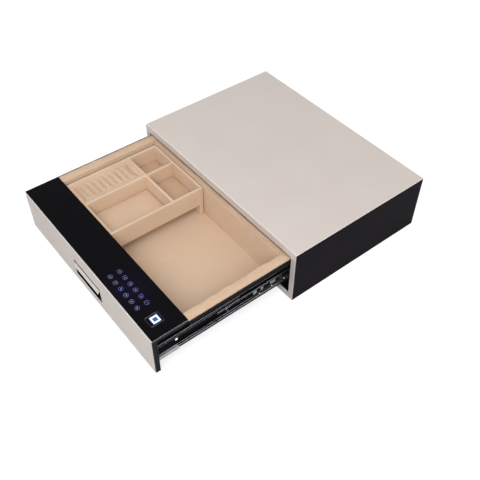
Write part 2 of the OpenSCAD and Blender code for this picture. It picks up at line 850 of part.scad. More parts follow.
module key_ring(grow) {
  difference() {
    cylinder(r = key_d / 2 + grow, h = 0.4 + grow);
    translate([0, 0, -1]) cylinder(r = key_d / 2 - key_line - grow, h = 3);
  }
}

module key_rings() {
  color("#9a94d8") key_places() key_ring(0);
}

module sensor_ring(grow) {
  translate([sensor_x, face_y + sensor_y - 1.5, rim_z - 0.4]) linear_extrude(0.4 + grow) difference() {
    round_rect(sensor_frame_w + 2 * grow, sensor_frame_d + 2 * grow, 3);
    round_rect(sensor_frame_w - 1.6 - 2 * grow, sensor_frame_d - 1.6 - 2 * grow, 2.2);
  }
}

module sensor_frame() { color("#55545c") sensor_ring(0); }

module fingerprint_sensor() {
  color("#dfeaff") translate([sensor_x, face_y + sensor_y, glass_z - small_gap])
    linear_extrude(glass_t + small_gap - 0.2) round_rect(sensor_w, sensor_w, 2);
}

// Electronics in the front block

module control_board() {
  low = board_z;
  color(board_green) {
    block([board_x, board_y, low], [board_x + board_w, board_y + board_d, low + board_t]);
    for (x = [post_in, board_w - post_in], y = [post_in, board_d - post_in])
      translate([board_x + x, board_y + y, floor_z]) cylinder(r = post_r, h = board_z - floor_z + 0.5);
    translate([board_x + 2 * board_in, board_y + board_in, low + board_t]) cube([chip_w, chip_w, chip_h]);
    translate([board_x + board_w - board_in - plug_w, board_y + board_in, low + board_t]) cube([plug_w, plug_d, plug_h]);
    translate([board_x + board_w / 2, board_y + board_d / 2, low + board_t]) cylinder(r = buzzer_r, h = buzzer_h);
  }
}

module battery_box() {
  back = strip_back - box_t - small_gap;
  color(plastic_black) difference() {
    block([battery_x, back - battery_d, battery_z], [battery_x + battery_w, battery_mouth_y, battery_z + battery_h]);
    block([battery_x + battery_wall, back - battery_d + battery_wall, battery_z + battery_wall],
          [battery_x + battery_w - battery_wall, front_lining_y, battery_z + battery_h - battery_wall]);
  }
}

module batteries() {
  y = strip_back - box_t - small_gap - battery_d + battery_wall + cell_r + 0.3;
  color("#b08a3c") for (i = [0, 1], j = [0, 1])
    translate([battery_x + battery_wall + 1 + i * (cell_l + 1.4), y, battery_z + battery_wall + cell_r + 0.3 + j * (2 * cell_r + 0.6)])
      rotate([0, 90, 0]) {
        cylinder(r = cell_r, h = cell_l - 1.2);
        cylinder(r = 2.6, h = cell_l);
      }
}

// The cover closes the box's mouth and lies just below the lining
module battery_cover() {
  rim = battery_cover_rim;
  color(plastic_black)
    block([battery_x - rim, battery_mouth_y, battery_z - rim],
          [battery_x + battery_w + rim, battery_mouth_y + battery_cover_t, battery_z + battery_h + rim]);
}

// Lock

module lock_housing() {
  low_y = bay_wall_y + box_t;
  color(zinc) difference() {
    block([-lock_w / 2, low_y, lock_low_z], [lock_w / 2, low_y + lock_bay_d - 0.5, lock_high_z]);
    translate([0, bolt_y, lock_low_z - 1]) cylinder(d = bolt_d + 2 * bolt_gap, h = bolt_z + bolt_l + bolt_end_play - lock_low_z + 1);
    translate([motor_x, bolt_y, lock_low_z + motor_up]) cylinder(r = motor_r + fit_gap, h = lock_high_z - lock_low_z);
  }
}

module lock_motor() {
  color(zinc) translate([motor_x, bolt_y, lock_low_z + motor_up]) {
    cylinder(r = motor_r, h = motor_l);
    cylinder(r = motor_shaft_r, h = motor_l + motor_shaft_l);
  }
}

module lock_bolt() {
  color(zinc) translate([0, bolt_y, bolt_z]) cylinder(d = bolt_d, h = bolt_l);
}

// Cable from the control board to the lock, clipped under the drawer's floor
module lock_cable() {
  top_front = board_z - small_gap;
  top_back = lock_low_z - small_gap;
  color(plastic_black) {
    translate([cable_x, cable_front_y, cable_z + cable_bend]) cylinder(r = cable_r, h = top_front - cable_z - cable_bend);
    translate([cable_x, cable_back_y, cable_z + cable_bend]) cylinder(r = cable_r, h = top_back - cable_z - cable_bend);
    translate([cable_x, cable_front_y + cable_bend, cable_z + cable_bend]) rotate([90, 0, -90]) elbow();
    translate([cable_x, cable_back_y - cable_bend, cable_z + cable_bend]) rotate([90, 0, 90]) elbow();
    translate([cable_x, cable_back_y - cable_bend, cable_z]) rotate([90, 0, 0])
      cylinder(r = cable_r, h = cable_back_y - cable_front_y - 2 * cable_bend);
  }
}

// A quarter turn of the cable
module elbow() {
  rotate([0, 0, -90]) rotate_extrude(angle = 90) translate([cable_bend, 0]) circle(cable_r);
}

// Lining

module floor_lining() {
  color(suede) block([soft_gap - box_in, strip_back + soft_gap, floor_z], [box_in - soft_gap, bay_wall_y - soft_gap, lining_z]);
}

module front_lining() {
  half = lining_in - soft_gap;
  color(suede) difference() {
    block([-half, strip_back, lining_z + soft_gap], [half, front_lining_y, glass_z]);
    battery_window(battery_cover_rim + small_gap);
  }
}

module back_lining() {
  half = lining_in - soft_gap;
  color(suede) block([-half, back_lining_y, lining_z + soft_gap], [half, bay_wall_y, pad_z - soft_gap]);
}

module side_lining() {
  block([lining_in, strip_back, lining_z + soft_gap], [box_in, bay_wall_y, pad_z - soft_gap]);
}

module left_lining() { color(suede) on_side(-1) side_lining(); }
module right_lining() { color(suede) on_side(1) side_lining(); }

// Padded rim: a flat foot, sides that draw in to it, and a crown
function crown(w, h) = [
  for (i = [0:pad_steps]) let (a = 180 * i / pad_steps, c = cos(a))
    [w / 2 * (1 - sign(c) * pow(abs(c), 0.55)), h * (0.4 + 0.6 * pow(sin(a), 0.7))]
];

module pad_section(w) {
  polygon(concat([[w - pad_tuck, 0], [pad_tuck, 0]], crown(w, rim_pad_h)));
}

module rim_pad() {
  along_y(strip_back + soft_gap, box_back) translate([lining_in, pad_z]) pad_section(rim_pad_w);
}

module rim_pad_left() { color(suede) on_side(-1) rim_pad(); }
module rim_pad_right() { color(suede) on_side(1) rim_pad(); }

module rim_pad_back() {
  half = lining_in - soft_gap;
  color(suede) translate([-half, back_lining_y, pad_z]) rotate([90, 0, 90]) linear_extrude(2 * half)
    pad_section(rim_back_w);
}

// Tray

module tray_frame() {
  color(suede) {
    for (x = [tray_x, tray_right_x - tray_wall])
      block([x, tray_front_y, tray_bottom_z], [x + tray_wall, tray_back_y, tray_top_z]);
    for (y = [tray_front_y, tray_back_y - tray_wall])
      block([tray_x, y, tray_bottom_z], [tray_right_x, y + tray_wall, tray_top_z]);
    for (y = [tray_front_y, tray_back_y - leg_t])
      block([tray_x, y, lining_z + tray_foot_gap], [tray_right_x, y + leg_t, tray_deck_z]);
    block([tray_x, tray_front_y, tray_bottom_z], [tray_right_x, tray_back_y, tray_deck_z]);
  }
}

module tray_dividers() {
  top = tray_top_z - 1;
  color(suede) {
    block([long_x, tray_front_y + tray_wall, tray_deck_z], [long_x + divider_t, tray_back_y - tray_wall, top]);
    block([tray_x + tray_wall, cross_y, tray_deck_z], [tray_right_x - tray_wall, cross_y + divider_t, top]);
  }
}

module tray_pad(low, high) {
  block([low[0] + small_gap, low[1] + small_gap, tray_deck_z],
        [high[0] - small_gap, high[1] - small_gap, tray_deck_z + tray_pad_t]);
}

module tray_pads() {
  color(suede) {
    tray_pad([tray_x + tray_wall, cross_y + divider_t], [long_x, tray_back_y - tray_wall]);
    tray_pad([long_x + divider_t, cross_y + divider_t], [tray_right_x - tray_wall, tray_back_y - tray_wall]);
    tray_pad([long_x + divider_t, tray_front_y + tray_wall], [tray_right_x - tray_wall, cross_y]);
  }
}

// Ring cushion: a foam base with a row of rolls across it
module ring_cushion() {
  base_z = roll_top_z - roll_r;
  color(suede) {
    block([roll_x0, roll_y0, tray_deck_z], [roll_x1, roll_y1, base_z]);
    for (i = [0:roll_count - 1])
      translate([roll_x0 + 2, roll_y0 + roll_end + (i + 0.5) * roll_pitch, base_z])
        rotate([0, 90, 0]) cylinder(r = roll_r, h = roll_x1 - roll_x0 - 4);
  }
}

case_shell();
back_panel();
top_panel();
front_frame();
case_rivets();
slide_bracket_left();
slide_bracket_right();
case_rail_left();
case_rail_right();
case_rail_screws();
rail_stops();
lock_strike();
strike_screws();
middle_rail_left();
middle_rail_right();
outer_retainer_left();
outer_retainer_right();
inner_retainer_left();
inner_retainer_right();
outer_balls_left();
outer_balls_right();
inner_balls_left();
inner_balls_right();
drawer_box();
rear_cover();
rear_cover_screws();
drawer_rail_left();
drawer_rail_right();
drawer_rail_screws();
rail_clips();
face_plate();
face_backing();
pull_cup();
pull_lip();
keypad_housing();
keypad_board();
control_glass();
key_rings();
sensor_frame();
fingerprint_sensor();
control_board();
battery_box();
batteries();
battery_cover();
lock_housing();
lock_motor();
lock_bolt();
lock_cable();
floor_lining();
front_lining();
back_lining();
left_lining();
right_lining();
rim_pad_left();
rim_pad_right();
rim_pad_back();
tray_frame();
tray_dividers();
tray_pads();
ring_cushion();
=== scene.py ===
"""Looks of a low drawer safe: finishes, suede, lit keys and studio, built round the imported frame."""

import json
import math

import bmesh
import bpy
from mathutils import Matrix, Quaternion, Vector, noise

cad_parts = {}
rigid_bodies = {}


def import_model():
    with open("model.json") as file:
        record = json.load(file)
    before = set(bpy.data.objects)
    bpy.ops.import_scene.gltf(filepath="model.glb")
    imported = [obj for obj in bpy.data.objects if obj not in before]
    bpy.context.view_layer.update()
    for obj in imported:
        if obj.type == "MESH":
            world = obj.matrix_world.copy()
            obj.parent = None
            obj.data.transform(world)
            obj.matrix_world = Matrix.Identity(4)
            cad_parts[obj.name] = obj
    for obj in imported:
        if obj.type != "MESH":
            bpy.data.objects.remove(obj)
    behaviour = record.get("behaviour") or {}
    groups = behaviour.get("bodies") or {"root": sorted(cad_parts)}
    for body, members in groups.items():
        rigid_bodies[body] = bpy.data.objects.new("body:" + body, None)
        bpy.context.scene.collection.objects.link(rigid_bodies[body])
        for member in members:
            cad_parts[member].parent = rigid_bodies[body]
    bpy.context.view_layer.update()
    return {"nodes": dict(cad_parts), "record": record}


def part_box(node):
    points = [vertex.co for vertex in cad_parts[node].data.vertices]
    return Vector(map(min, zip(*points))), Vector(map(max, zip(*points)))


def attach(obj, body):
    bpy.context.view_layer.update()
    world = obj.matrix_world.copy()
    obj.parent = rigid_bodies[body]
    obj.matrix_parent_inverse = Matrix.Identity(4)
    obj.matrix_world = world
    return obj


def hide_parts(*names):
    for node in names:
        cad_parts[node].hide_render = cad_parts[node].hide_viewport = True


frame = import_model()
NODES = frame["nodes"]
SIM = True


# Materials


def srgb(r, g, b):
    """A colour written as 0-255 screen values, as linear light."""
    out = []
    for v in (r, g, b):
        v /= 255
        out.append(v / 12.92 if v <= 0.04045 else ((v + 0.055) / 1.055) ** 2.4)
    return (*out, 1.0)


CHAMPAGNE, PALE = srgb(208, 198, 192), srgb(228, 222, 218)
# White of the painted highlights laid along edges
HIGHLIGHT_WHITE = srgb(255, 253, 251)
NEAR_BLACK, WORN_BLACK = srgb(20, 18, 22), srgb(60, 58, 64)

# Height of the front frame's upper rail and width of its stiles, and the opening they leave
FRAME_RAIL, FRAME_STILE = 0.018, 0.0135
frame_right, _, frame_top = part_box("front_frame")[1]
TOP_RAIL_Z, OPENING_HALF = frame_top - FRAME_RAIL, frame_right - FRAME_STILE

# Height of the slides' middle, and the stretch over which they pass into the dark of the case, where painted
# shade darkens them
rail_low, rail_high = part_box("case_rail_right")
RAIL_Z = (rail_low[2] + rail_high[2]) / 2
CASE_DARK = (-0.235, -0.205)

LIP_LOW, LIP_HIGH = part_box("pull_lip")


class Tree:
    """A small writer of shader nodes."""

    def __init__(self, name):
        self.mat = bpy.data.materials.new(name)
        self.mat.use_nodes = True
        self.tree = self.mat.node_tree
        self.tree.nodes.clear()
        self.out = self.tree.nodes.new("ShaderNodeOutputMaterial")
        self.place = self.add("TexCoord").outputs["Object"]

    def add(self, kind, values=(), **fields):
        node = self.tree.nodes.new("ShaderNode" + kind)
        for k, v in fields.items():
            setattr(node, k, v)
        for k, v in dict(values).items():
            self.put(node, k, v)
        return node

    def put(self, node, socket, value):
        target = node.inputs[socket]
        if isinstance(value, bpy.types.NodeSocket):
            self.tree.links.new(value, target)
        else:
            target.default_value = value

    def math(self, op, *values):
        node = self.add("Math", operation=op)
        for i, v in enumerate(values):
            self.put(node, i, v)
        return node.outputs[0]

    def length(self, dx, dy):
        squares = [self.math("MULTIPLY", v, v) for v in (dx, dy)]
        return self.math("SQRT", self.math("ADD", *squares))

    def coordinates(self):
        return self.add("SeparateXYZ", {0: self.place}).outputs

    def stretch(self, scale):
        return self.add("Mapping", {"Vector": self.place, "Scale": scale}).outputs[0]

    def noise(self, scale, detail=2.0, rough=0.5, place=None):
        return self.add(
            "TexNoise",
            {"Vector": place or self.place, "Scale": scale, "Detail": detail, "Roughness": rough},
        ).outputs["Fac"]

    def ramp(self, value, low, high, to_low=0.0, to_high=1.0):
        return self.add(
            "MapRange",
            {"Value": value, "From Min": low, "From Max": high, "To Min": to_low, "To Max": to_high},
        ).outputs[0]

    def around(self, cloud, middle, spread):
        """A noise as a number that wanders round a middle."""
        return self.ramp(cloud, 0.3, 0.7, middle - spread, middle + spread)

    def mix(self, fac, a, b):
        node = self.add("Mix", data_type="RGBA")
        for i, v in ((0, fac), (6, a), (7, b)):
            self.put(node, i, v)
        return node.outputs[2]

    def bump(self, height, strength, distance, normal=None):
        node = self.add("Bump", {"Height": height, "Strength": strength, "Distance": distance})
        if normal is not None:
            self.put(node, "Normal", normal)
        return node.outputs[0]

    def edges(self, radius):
        """0 on flat faces, rising to 1 on edges and corners."""
        soft = self.add("Bevel", {"Radius": radius}, samples=4).outputs[0]
        flat = self.add("NewGeometry").outputs["Normal"]
        dot = self.add("VectorMath", {0: soft, 1: flat}, operation="DOT_PRODUCT").outputs["Value"]
        return self.ramp(dot, 0.995, 0.86)

    def soft_normal(self, radius):
        """The three parts of the normal, with the edges rounded off."""
        soft = self.add("Bevel", {"Radius": radius}, samples=6).outputs[0]
        return self.add("SeparateXYZ", {0: soft}).outputs

    def square_edges(self, axes):
        """0 on the flats of square-cut sheet, rising to 1 on its edges."""
        x, y, z = (self.math("ABSOLUTE", axes[i]) for i in range(3))
        return self.ramp(self.math("MAXIMUM", x, self.math("MAXIMUM", y, z)), 0.985, 0.87)

    def true_normal(self):
        return self.add("SeparateXYZ", {0: self.add("NewGeometry").outputs["Normal"]}).outputs

    def surface(self, **values):
        names = {
            "color": "Base Color", "rough": "Roughness", "metal": "Metallic", "normal": "Normal",
            "specular": "Specular IOR Level", "sheen": "Sheen Weight", "sheen_rough": "Sheen Roughness",
            "sheen_tint": "Sheen Tint", "glow": "Emission Color", "glow_strength": "Emission Strength",
        }
        shader = self.add("BsdfPrincipled", {names[k]: v for k, v in values.items()})
        self.tree.links.new(shader.outputs[0], self.out.inputs[0])
        return self.mat


def upward(t, axes):
    """Edges that look up catch the light, and upright ones a little of it."""
    return t.ramp(axes[2], -0.05, 0.3, 0.25, 1.0)


def downward(t, axes):
    """The painted highlight only on edges that look down, such as the lower edge of the pull."""
    return t.ramp(axes[2], 0.15, -0.2)


def lengthwise(t, axes):
    """The painted highlight only on edges that run along the drawer's travel, and not on those of the cut
    ends.
    """
    return t.ramp(t.math("ABSOLUTE", axes[1]), 0.22, 0.05)


def in_the_open(t, axes):
    """Lengthwise edges with the painted highlight, faded as painted shade where they lie inside the case."""
    return t.math("MULTIPLY", lengthwise(t, axes), t.ramp(t.coordinates()[1], *CASE_DARK, 1.0, 0.1))


def dark_ends(t, base):
    """The face plate's two ends show its bare black core."""
    return t.mix(t.ramp(t.math("ABSOLUTE", t.true_normal()[0]), 0.6, 0.8), base, srgb(24, 22, 26))


def painted_rail_light_and_shadow(t, base):
    """The frame's upper rail is painted paler than its stiles as painted light, with a painted shadow along
    its lower edge.
    """
    axes = t.coordinates()
    inner = t.ramp(t.math("ABSOLUTE", axes[0]), OPENING_HALF, OPENING_HALF - 0.002)
    above = t.ramp(axes[2], TOP_RAIL_Z, TOP_RAIL_Z + 0.001)
    upper = t.ramp(axes[2], TOP_RAIL_Z + 0.0022, TOP_RAIL_Z + 0.0012)
    lower = t.ramp(axes[2], TOP_RAIL_Z - 0.002, TOP_RAIL_Z)
    painted_shadow = t.math("MULTIPLY", t.math("MULTIPLY", upper, lower), inner)
    base = t.mix(t.math("MULTIPLY", above, 0.55), base, srgb(222, 211, 205))
    return t.mix(painted_shadow, base, srgb(96, 74, 60))


def painted_shelf_shade(t, base):
    """The level shelf behind the pull's lip is painted black as painted shade in the recess, and so are
    painted shadow lines at its top and left end.
    """
    axes = t.coordinates()
    top = t.ramp(axes[2], LIP_HIGH[2] - 0.0016, LIP_HIGH[2] - 0.0010)
    left = t.ramp(axes[0], LIP_LOW[0] + 0.0014, LIP_LOW[0] + 0.0009)
    painted_shadow = t.math("MAXIMUM", t.math("MAXIMUM", top, left), t.ramp(t.true_normal()[2], 0.6, 0.8))
    return t.mix(painted_shadow, base, srgb(18, 17, 20))


def shaded_cage(t, base):
    """The ball cage keeps its bright metal only along its middle, and is painted dark above and below it and
    inside the case, as painted shade.
    """
    axes = t.coordinates()
    off_middle = t.math("ABSOLUTE", t.math("SUBTRACT", axes[2], RAIL_Z))
    edge = t.ramp(off_middle, 0.0065, 0.0085, 0.0, 0.9)
    inside = t.ramp(axes[1], *CASE_DARK, 0.0, 0.9)
    return t.mix(t.math("MAXIMUM", edge, inside), base, srgb(20, 19, 23))


def painted_lip_highlight(t, base):
    """A painted highlight on the upward faces of the left flange's lip, beside its rim."""
    left = t.ramp(t.coordinates()[0], -0.22, -0.24)
    bare = t.math("MULTIPLY", left, t.ramp(t.true_normal()[2], 0.6, 0.8))
    return t.mix(bare, base, srgb(236, 234, 238))


def paint(
    name, color, worn, rough, fleck=0.0, specular=0.5, edge=None, orange_peel=0.12, extra=None, glow=0.0,
):
    """Powder coat: orange peel, cloudy roughness, rubbed edges or a painted highlight along chosen edges,
    and what one piece has of its own, mostly painted light and shade.
    """
    t = Tree(name)
    cloud = t.noise(9.0, 3.0)
    peel = t.noise(900.0, 2.0, 0.6)
    grain = t.noise(5200.0, 1.0)
    base = t.mix(t.ramp(cloud, 0.35, 0.65, 0.0, 0.10), color, worn)
    if fleck:
        base = t.mix(t.ramp(grain, 0.62, 0.75, 0.0, fleck), base, worn)
    if edge:
        # With edge given, its colour is a painted highlight, laid on the edges that its last entry picks.
        bright, radius, low, high, which = edge
        axes = t.soft_normal(radius)
        wear_or_highlight = t.math("MULTIPLY", t.square_edges(axes), t.ramp(t.noise(60.0, 3.0), 0.3, 0.7, low, high))
        base = t.mix(t.math("MULTIPLY", wear_or_highlight, which(t, axes)), base, bright)
    else:
        wear_or_highlight = t.math("MULTIPLY", t.edges(0.0009), t.ramp(t.noise(60.0, 3.0), 0.3, 0.7, 0.10, 0.55))
        base = t.mix(wear_or_highlight, base, worn)
    if extra:
        base = extra(t, base)
    rough_map = t.math("ADD", t.around(cloud, rough, 0.05), t.around(grain, 0.0, 0.03))
    normal = t.bump(grain, 0.10, 0.00003, t.bump(peel, orange_peel, 0.00012))
    # A glow above 0 makes the coat give off its own colour as light, a painted glow.
    return t.surface(
        color=base, rough=rough_map, specular=specular, normal=normal, glow=base, glow_strength=glow,
    )


def champagne(name, color, radius, low, which=upward, extra=None):
    """The pale metallic coat, with a painted white highlight along some of its edges."""
    return paint(name, color, PALE, 0.42, fleck=0.08, edge=(HIGHLIGHT_WHITE, radius, low, 1.0, which), extra=extra)


# Stretch of the texture on metal that is drawn along y
DRAWN = (1.0, 0.06, 1.0)


def plated(
    name, color, dark, rough, brush=(1.0, 1.0, 1.0), brush_scale=1400.0, spangle=0.25, metal=1.0,
    edge=None, extra=None,
):
    """Bright metal: fine drawn lines, cloudy plating, darker patches and a painted white highlight along its
    edges.
    """
    t = Tree(name)
    lines = t.noise(brush_scale, 2.0, 0.6, t.stretch(brush))
    cloud = t.add("TexVoronoi", {"Vector": t.place, "Scale": 260.0}).outputs["Color"]
    tone = t.math("MULTIPLY", t.ramp(cloud, 0.0, 1.0), spangle)
    base = t.mix(tone, color, dark)
    base = t.mix(t.ramp(t.noise(35.0, 4.0), 0.55, 0.75, 0.0, 0.35), base, dark)
    if edge:
        radius, share = edge
        base = t.mix(t.math("MULTIPLY", t.square_edges(t.soft_normal(radius)), share), base, HIGHLIGHT_WHITE)
    if extra:
        base = extra(t, base)
    rough_map = t.around(lines, rough, 0.08)
    return t.surface(color=base, metal=metal, rough=rough_map, normal=t.bump(lines, 0.18, 0.00004))


def plastic(name, color, light, rough, edge=0.35):
    """Moulded plastic with a fine spark-eroded texture."""
    t = Tree(name)
    skin = t.noise(2600.0, 2.0, 0.6)
    cloud = t.noise(14.0, 2.0)
    base = t.mix(t.ramp(skin, 0.45, 0.7, 0.0, 0.16), color, light)
    # Lighter edges, a painted highlight.
    base = t.mix(t.math("MULTIPLY", t.square_edges(t.soft_normal(0.0009)), edge), base, light)
    rough_map = t.around(cloud, rough, 0.06)
    return t.surface(color=base, rough=rough_map, specular=0.06, normal=t.bump(skin, 0.25, 0.00006))


def suede(name, color, shade, light, tint=None):
    """Short nap: brushed patches, fibres and a soft sheen, with a painted sheen on its edges, and painted
    shade along one axis where a tint is given.
    """
    t = Tree(name)
    patches = t.noise(11.0, 3.0, 0.55)
    strokes = t.noise(46.0, 3.0, 0.6, t.stretch((1.0, 0.35, 1.0)))
    fibre = t.noise(2300.0, 3.0, 0.7)
    clump = t.noise(420.0, 2.0, 0.6)
    base = t.mix(t.ramp(patches, 0.38, 0.62, 0.0, 0.34), color, shade)
    base = t.mix(t.ramp(strokes, 0.5, 0.72, 0.0, 0.28), base, light)
    base = t.mix(t.ramp(fibre, 0.3, 0.7, 0.0, 0.30), base, shade)
    # Lighter edges, a painted sheen.
    base = t.mix(t.math("MULTIPLY", t.edges(0.0012), 0.45), base, light)
    # The tint paints shade along one axis.
    if tint:
        axis, low, high, tone = tint
        base = t.mix(t.ramp(t.coordinates()[axis], low, high), base, tone)
    normal = t.bump(fibre, 0.32, 0.00022, t.bump(clump, 0.22, 0.0003))
    return t.surface(
        color=base, rough=t.ramp(patches, 0.3, 0.7, 0.84, 0.95), specular=0.22, normal=normal,
        sheen=0.22, sheen_rough=0.45, sheen_tint=(1.0, 0.93, 0.86, 1.0),
    )


# Places of the keys and the sensor, in metres, as the CAD has them
KEY_X, KEY_PITCH, KEY_COUNT = 0.077, 0.0201, 6
KEY_ROWS = (-0.5117, -0.4897)
KEYPAD_MIDDLE = (0.128, -0.501)
RING_R = 0.00485
SENSOR = (0.221, -0.499)
GLASS_Z = 0.1222


def near(t, x, y, centre, reach):
    """1 at a place on the glass, falling to 0 at a reach."""
    dx = t.math("SUBTRACT", x, centre[0])
    dy = t.math("SUBTRACT", y, centre[1])
    return t.ramp(t.length(dx, dy), reach, 0.0)


def key_distance(t, x, y):
    """Distance to the centre of the nearest key."""
    column = t.math("ROUND", t.math("DIVIDE", t.math("SUBTRACT", x, KEY_X), KEY_PITCH))
    column = t.math("MINIMUM", t.math("MAXIMUM", column, 0.0), float(KEY_COUNT - 1))
    dx = t.math("SUBTRACT", x, t.math("ADD", t.math("MULTIPLY", column, KEY_PITCH), KEY_X))
    rows = [t.math("ABSOLUTE", t.math("SUBTRACT", y, row)) for row in KEY_ROWS]
    return t.length(dx, t.math("MINIMUM", *rows))


def light_on_glass(t, x, y):
    """Colour and strength of the light that leaks round the lit keys and the sensor."""
    leak = t.ramp(key_distance(t, x, y), RING_R + 0.0052, RING_R - 0.002)
    leak = t.math("MULTIPLY", t.math("POWER", leak, 2.2), t.ramp(t.noise(55.0, 1.0), 0.35, 0.65, 0.25, 1.0))
    bed = t.math("POWER", near(t, x, y, KEYPAD_MIDDLE, 0.075), 1.5)
    halo = t.math("POWER", near(t, x, y, SENSOR, 0.026), 2.5)
    leak = t.math("ADD", t.math("MULTIPLY", leak, 0.03), t.math("MULTIPLY", bed, 0.014))
    violet = t.mix(t.ramp(halo, 0.0, 0.6), (0.13, 0.11, 0.95, 1.0), (0.25, 0.42, 0.95, 1.0))
    glow = t.math("ADD", leak, t.math("MULTIPLY", halo, 0.05))
    return violet, t.math("MULTIPLY", glow, t.ramp(t.true_normal()[2], 0.5, 0.9))


def black_glass():
    """Gloss black strip: smears, dust, painted highlights on its edges, brightest along its right edge, and
    the light under it.
    """
    t = Tree("glass_black")
    axes = t.coordinates()
    violet, glow = light_on_glass(t, axes[0], axes[1])
    smear = t.noise(24.0, 4.0, 0.65, t.stretch((1.0, 0.5, 1.0)))
    dust = t.noise(2400.0, 1.0)
    rough = t.math("ADD", t.ramp(smear, 0.45, 0.75, 0.05, 0.16), t.ramp(dust, 0.7, 0.8, 0.0, 0.10))
    base = t.mix(t.ramp(dust, 0.68, 0.78, 0.0, 0.05), srgb(13, 12, 15), WORN_BLACK)
    base = t.mix(t.math("MULTIPLY", t.edges(0.0005), 0.16), base, srgb(120, 116, 122))
    side = t.soft_normal(0.0012)
    right_edge_highlight = t.math("MULTIPLY", t.square_edges(side), t.ramp(side[0], 0.2, 0.45))
    base = t.mix(right_edge_highlight, base, srgb(205, 201, 205))
    return t.surface(
        color=base, rough=rough, specular=0.18, normal=t.bump(smear, 0.02, 0.0001),
        glow=violet, glow_strength=glow,
    )


def lit(name, color, deep, strength, spread):
    """A lit print or lens, uneven as such lights are."""
    t = Tree(name)
    uneven = t.noise(70.0, 1.0)
    grain = t.noise(4200.0, 1.0)
    tone = t.mix(t.ramp(uneven, 0.35, 0.65), color, deep)
    power = t.math("MULTIPLY", t.around(uneven, strength, spread), t.ramp(grain, 0.3, 0.7, 0.9, 1.1))
    return t.surface(
        color=tone, rough=t.ramp(grain, 0.3, 0.7, 0.18, 0.28), normal=t.bump(grain, 0.05, 0.00002),
        glow=tone, glow_strength=power,
    )


def lens():
    """The lit pad of the sensor: white-blue, brighter to its middle ring, darker in the centre."""
    t = Tree("sensor_glow")
    axes = t.coordinates()
    dx = t.math("ABSOLUTE", t.math("SUBTRACT", axes[0], SENSOR[0]))
    dy = t.math("ABSOLUTE", t.math("SUBTRACT", axes[1], SENSOR[1]))
    far = t.math("MAXIMUM", dx, dy)
    tone = t.mix(t.ramp(far, 0.0044, 0.0056), srgb(24, 74, 122), srgb(232, 242, 255))
    tone = t.mix(t.ramp(far, 0.0070, 0.0086), tone, srgb(120, 150, 190))
    grain = t.noise(3600.0, 1.0)
    power = t.math("MULTIPLY", t.ramp(far, 0.0088, 0.0070, 0.30, 0.70), t.ramp(grain, 0.3, 0.7, 0.94, 1.06))
    return t.surface(
        color=tone, rough=t.ramp(grain, 0.3, 0.7, 0.16, 0.26), normal=t.bump(grain, 0.05, 0.00002),
        glow=tone, glow_strength=power,
    )


def window_glass():
    """The dark blue centre of the sensor, with the fine arcs of its lens."""
    t = Tree("sensor_window")
    axes = t.coordinates()
    far = near(t, axes[0], axes[1], SENSOR, 0.0045)
    centred = t.add("Mapping", {"Vector": t.place, "Location": (-SENSOR[0], -SENSOR[1] + 0.0012, 0)})
    waves = t.add(
        "TexWave", {"Vector": centred.outputs[0], "Scale": 520.0, "Distortion": 3.0, "Detail": 1.0},
        wave_type="RINGS", rings_direction="Z",
    )
    arcs = waves.outputs["Fac"]
    tone = t.mix(t.ramp(far, 0.1, 0.8), srgb(22, 66, 104), srgb(14, 38, 62))
    tone = t.mix(t.math("MULTIPLY", arcs, 0.4), tone, srgb(96, 160, 205))
    return t.surface(
        color=tone, rough=t.ramp(arcs, 0.0, 1.0, 0.10, 0.2), normal=t.bump(arcs, 0.1, 0.00004),
        glow=tone, glow_strength=0.4,
    )


def circuit():
    """Solder mask with traces and pads under it."""
    t = Tree("board")
    cells = t.add("TexBrick", {"Vector": t.place, "Scale": 160.0, "Mortar Size": 0.04}, offset=0.5)
    lines = cells.outputs["Fac"]
    pads = t.ramp(t.add("TexVoronoi", {"Vector": t.place, "Scale": 240.0}).outputs["Distance"], 0.16, 0.12)
    base = t.mix(t.math("MULTIPLY", lines, 0.5), srgb(24, 84, 54), srgb(52, 130, 84))
    base = t.mix(pads, base, srgb(196, 170, 96))
    base = t.mix(t.math("MULTIPLY", t.edges(0.0005), 0.6), base, srgb(150, 160, 110))
    rough = t.ramp(pads, 0.0, 1.0, 0.42, 0.28)
    return t.surface(color=base, rough=rough, metal=pads, normal=t.bump(lines, 0.2, 0.00005))


def wrapped_cell():
    """Shrink-wrapped cells with a dark band and scuffs."""
    t = Tree("cell")
    wave = t.add("TexWave", {"Vector": t.place, "Scale": 3.1, "Distortion": 0.0}, bands_direction="X")
    scuff = t.noise(180.0, 4.0, 0.7, t.stretch((0.3, 1.0, 1.0)))
    base = t.mix(t.ramp(wave.outputs["Fac"], 0.52, 0.54), srgb(176, 138, 62), srgb(38, 36, 40))
    base = t.mix(t.ramp(scuff, 0.62, 0.75, 0.0, 0.5), base, srgb(190, 188, 184))
    rough = t.ramp(scuff, 0.3, 0.7, 0.24, 0.4)
    return t.surface(color=base, metal=0.5, rough=rough, normal=t.bump(scuff, 0.1, 0.00005))


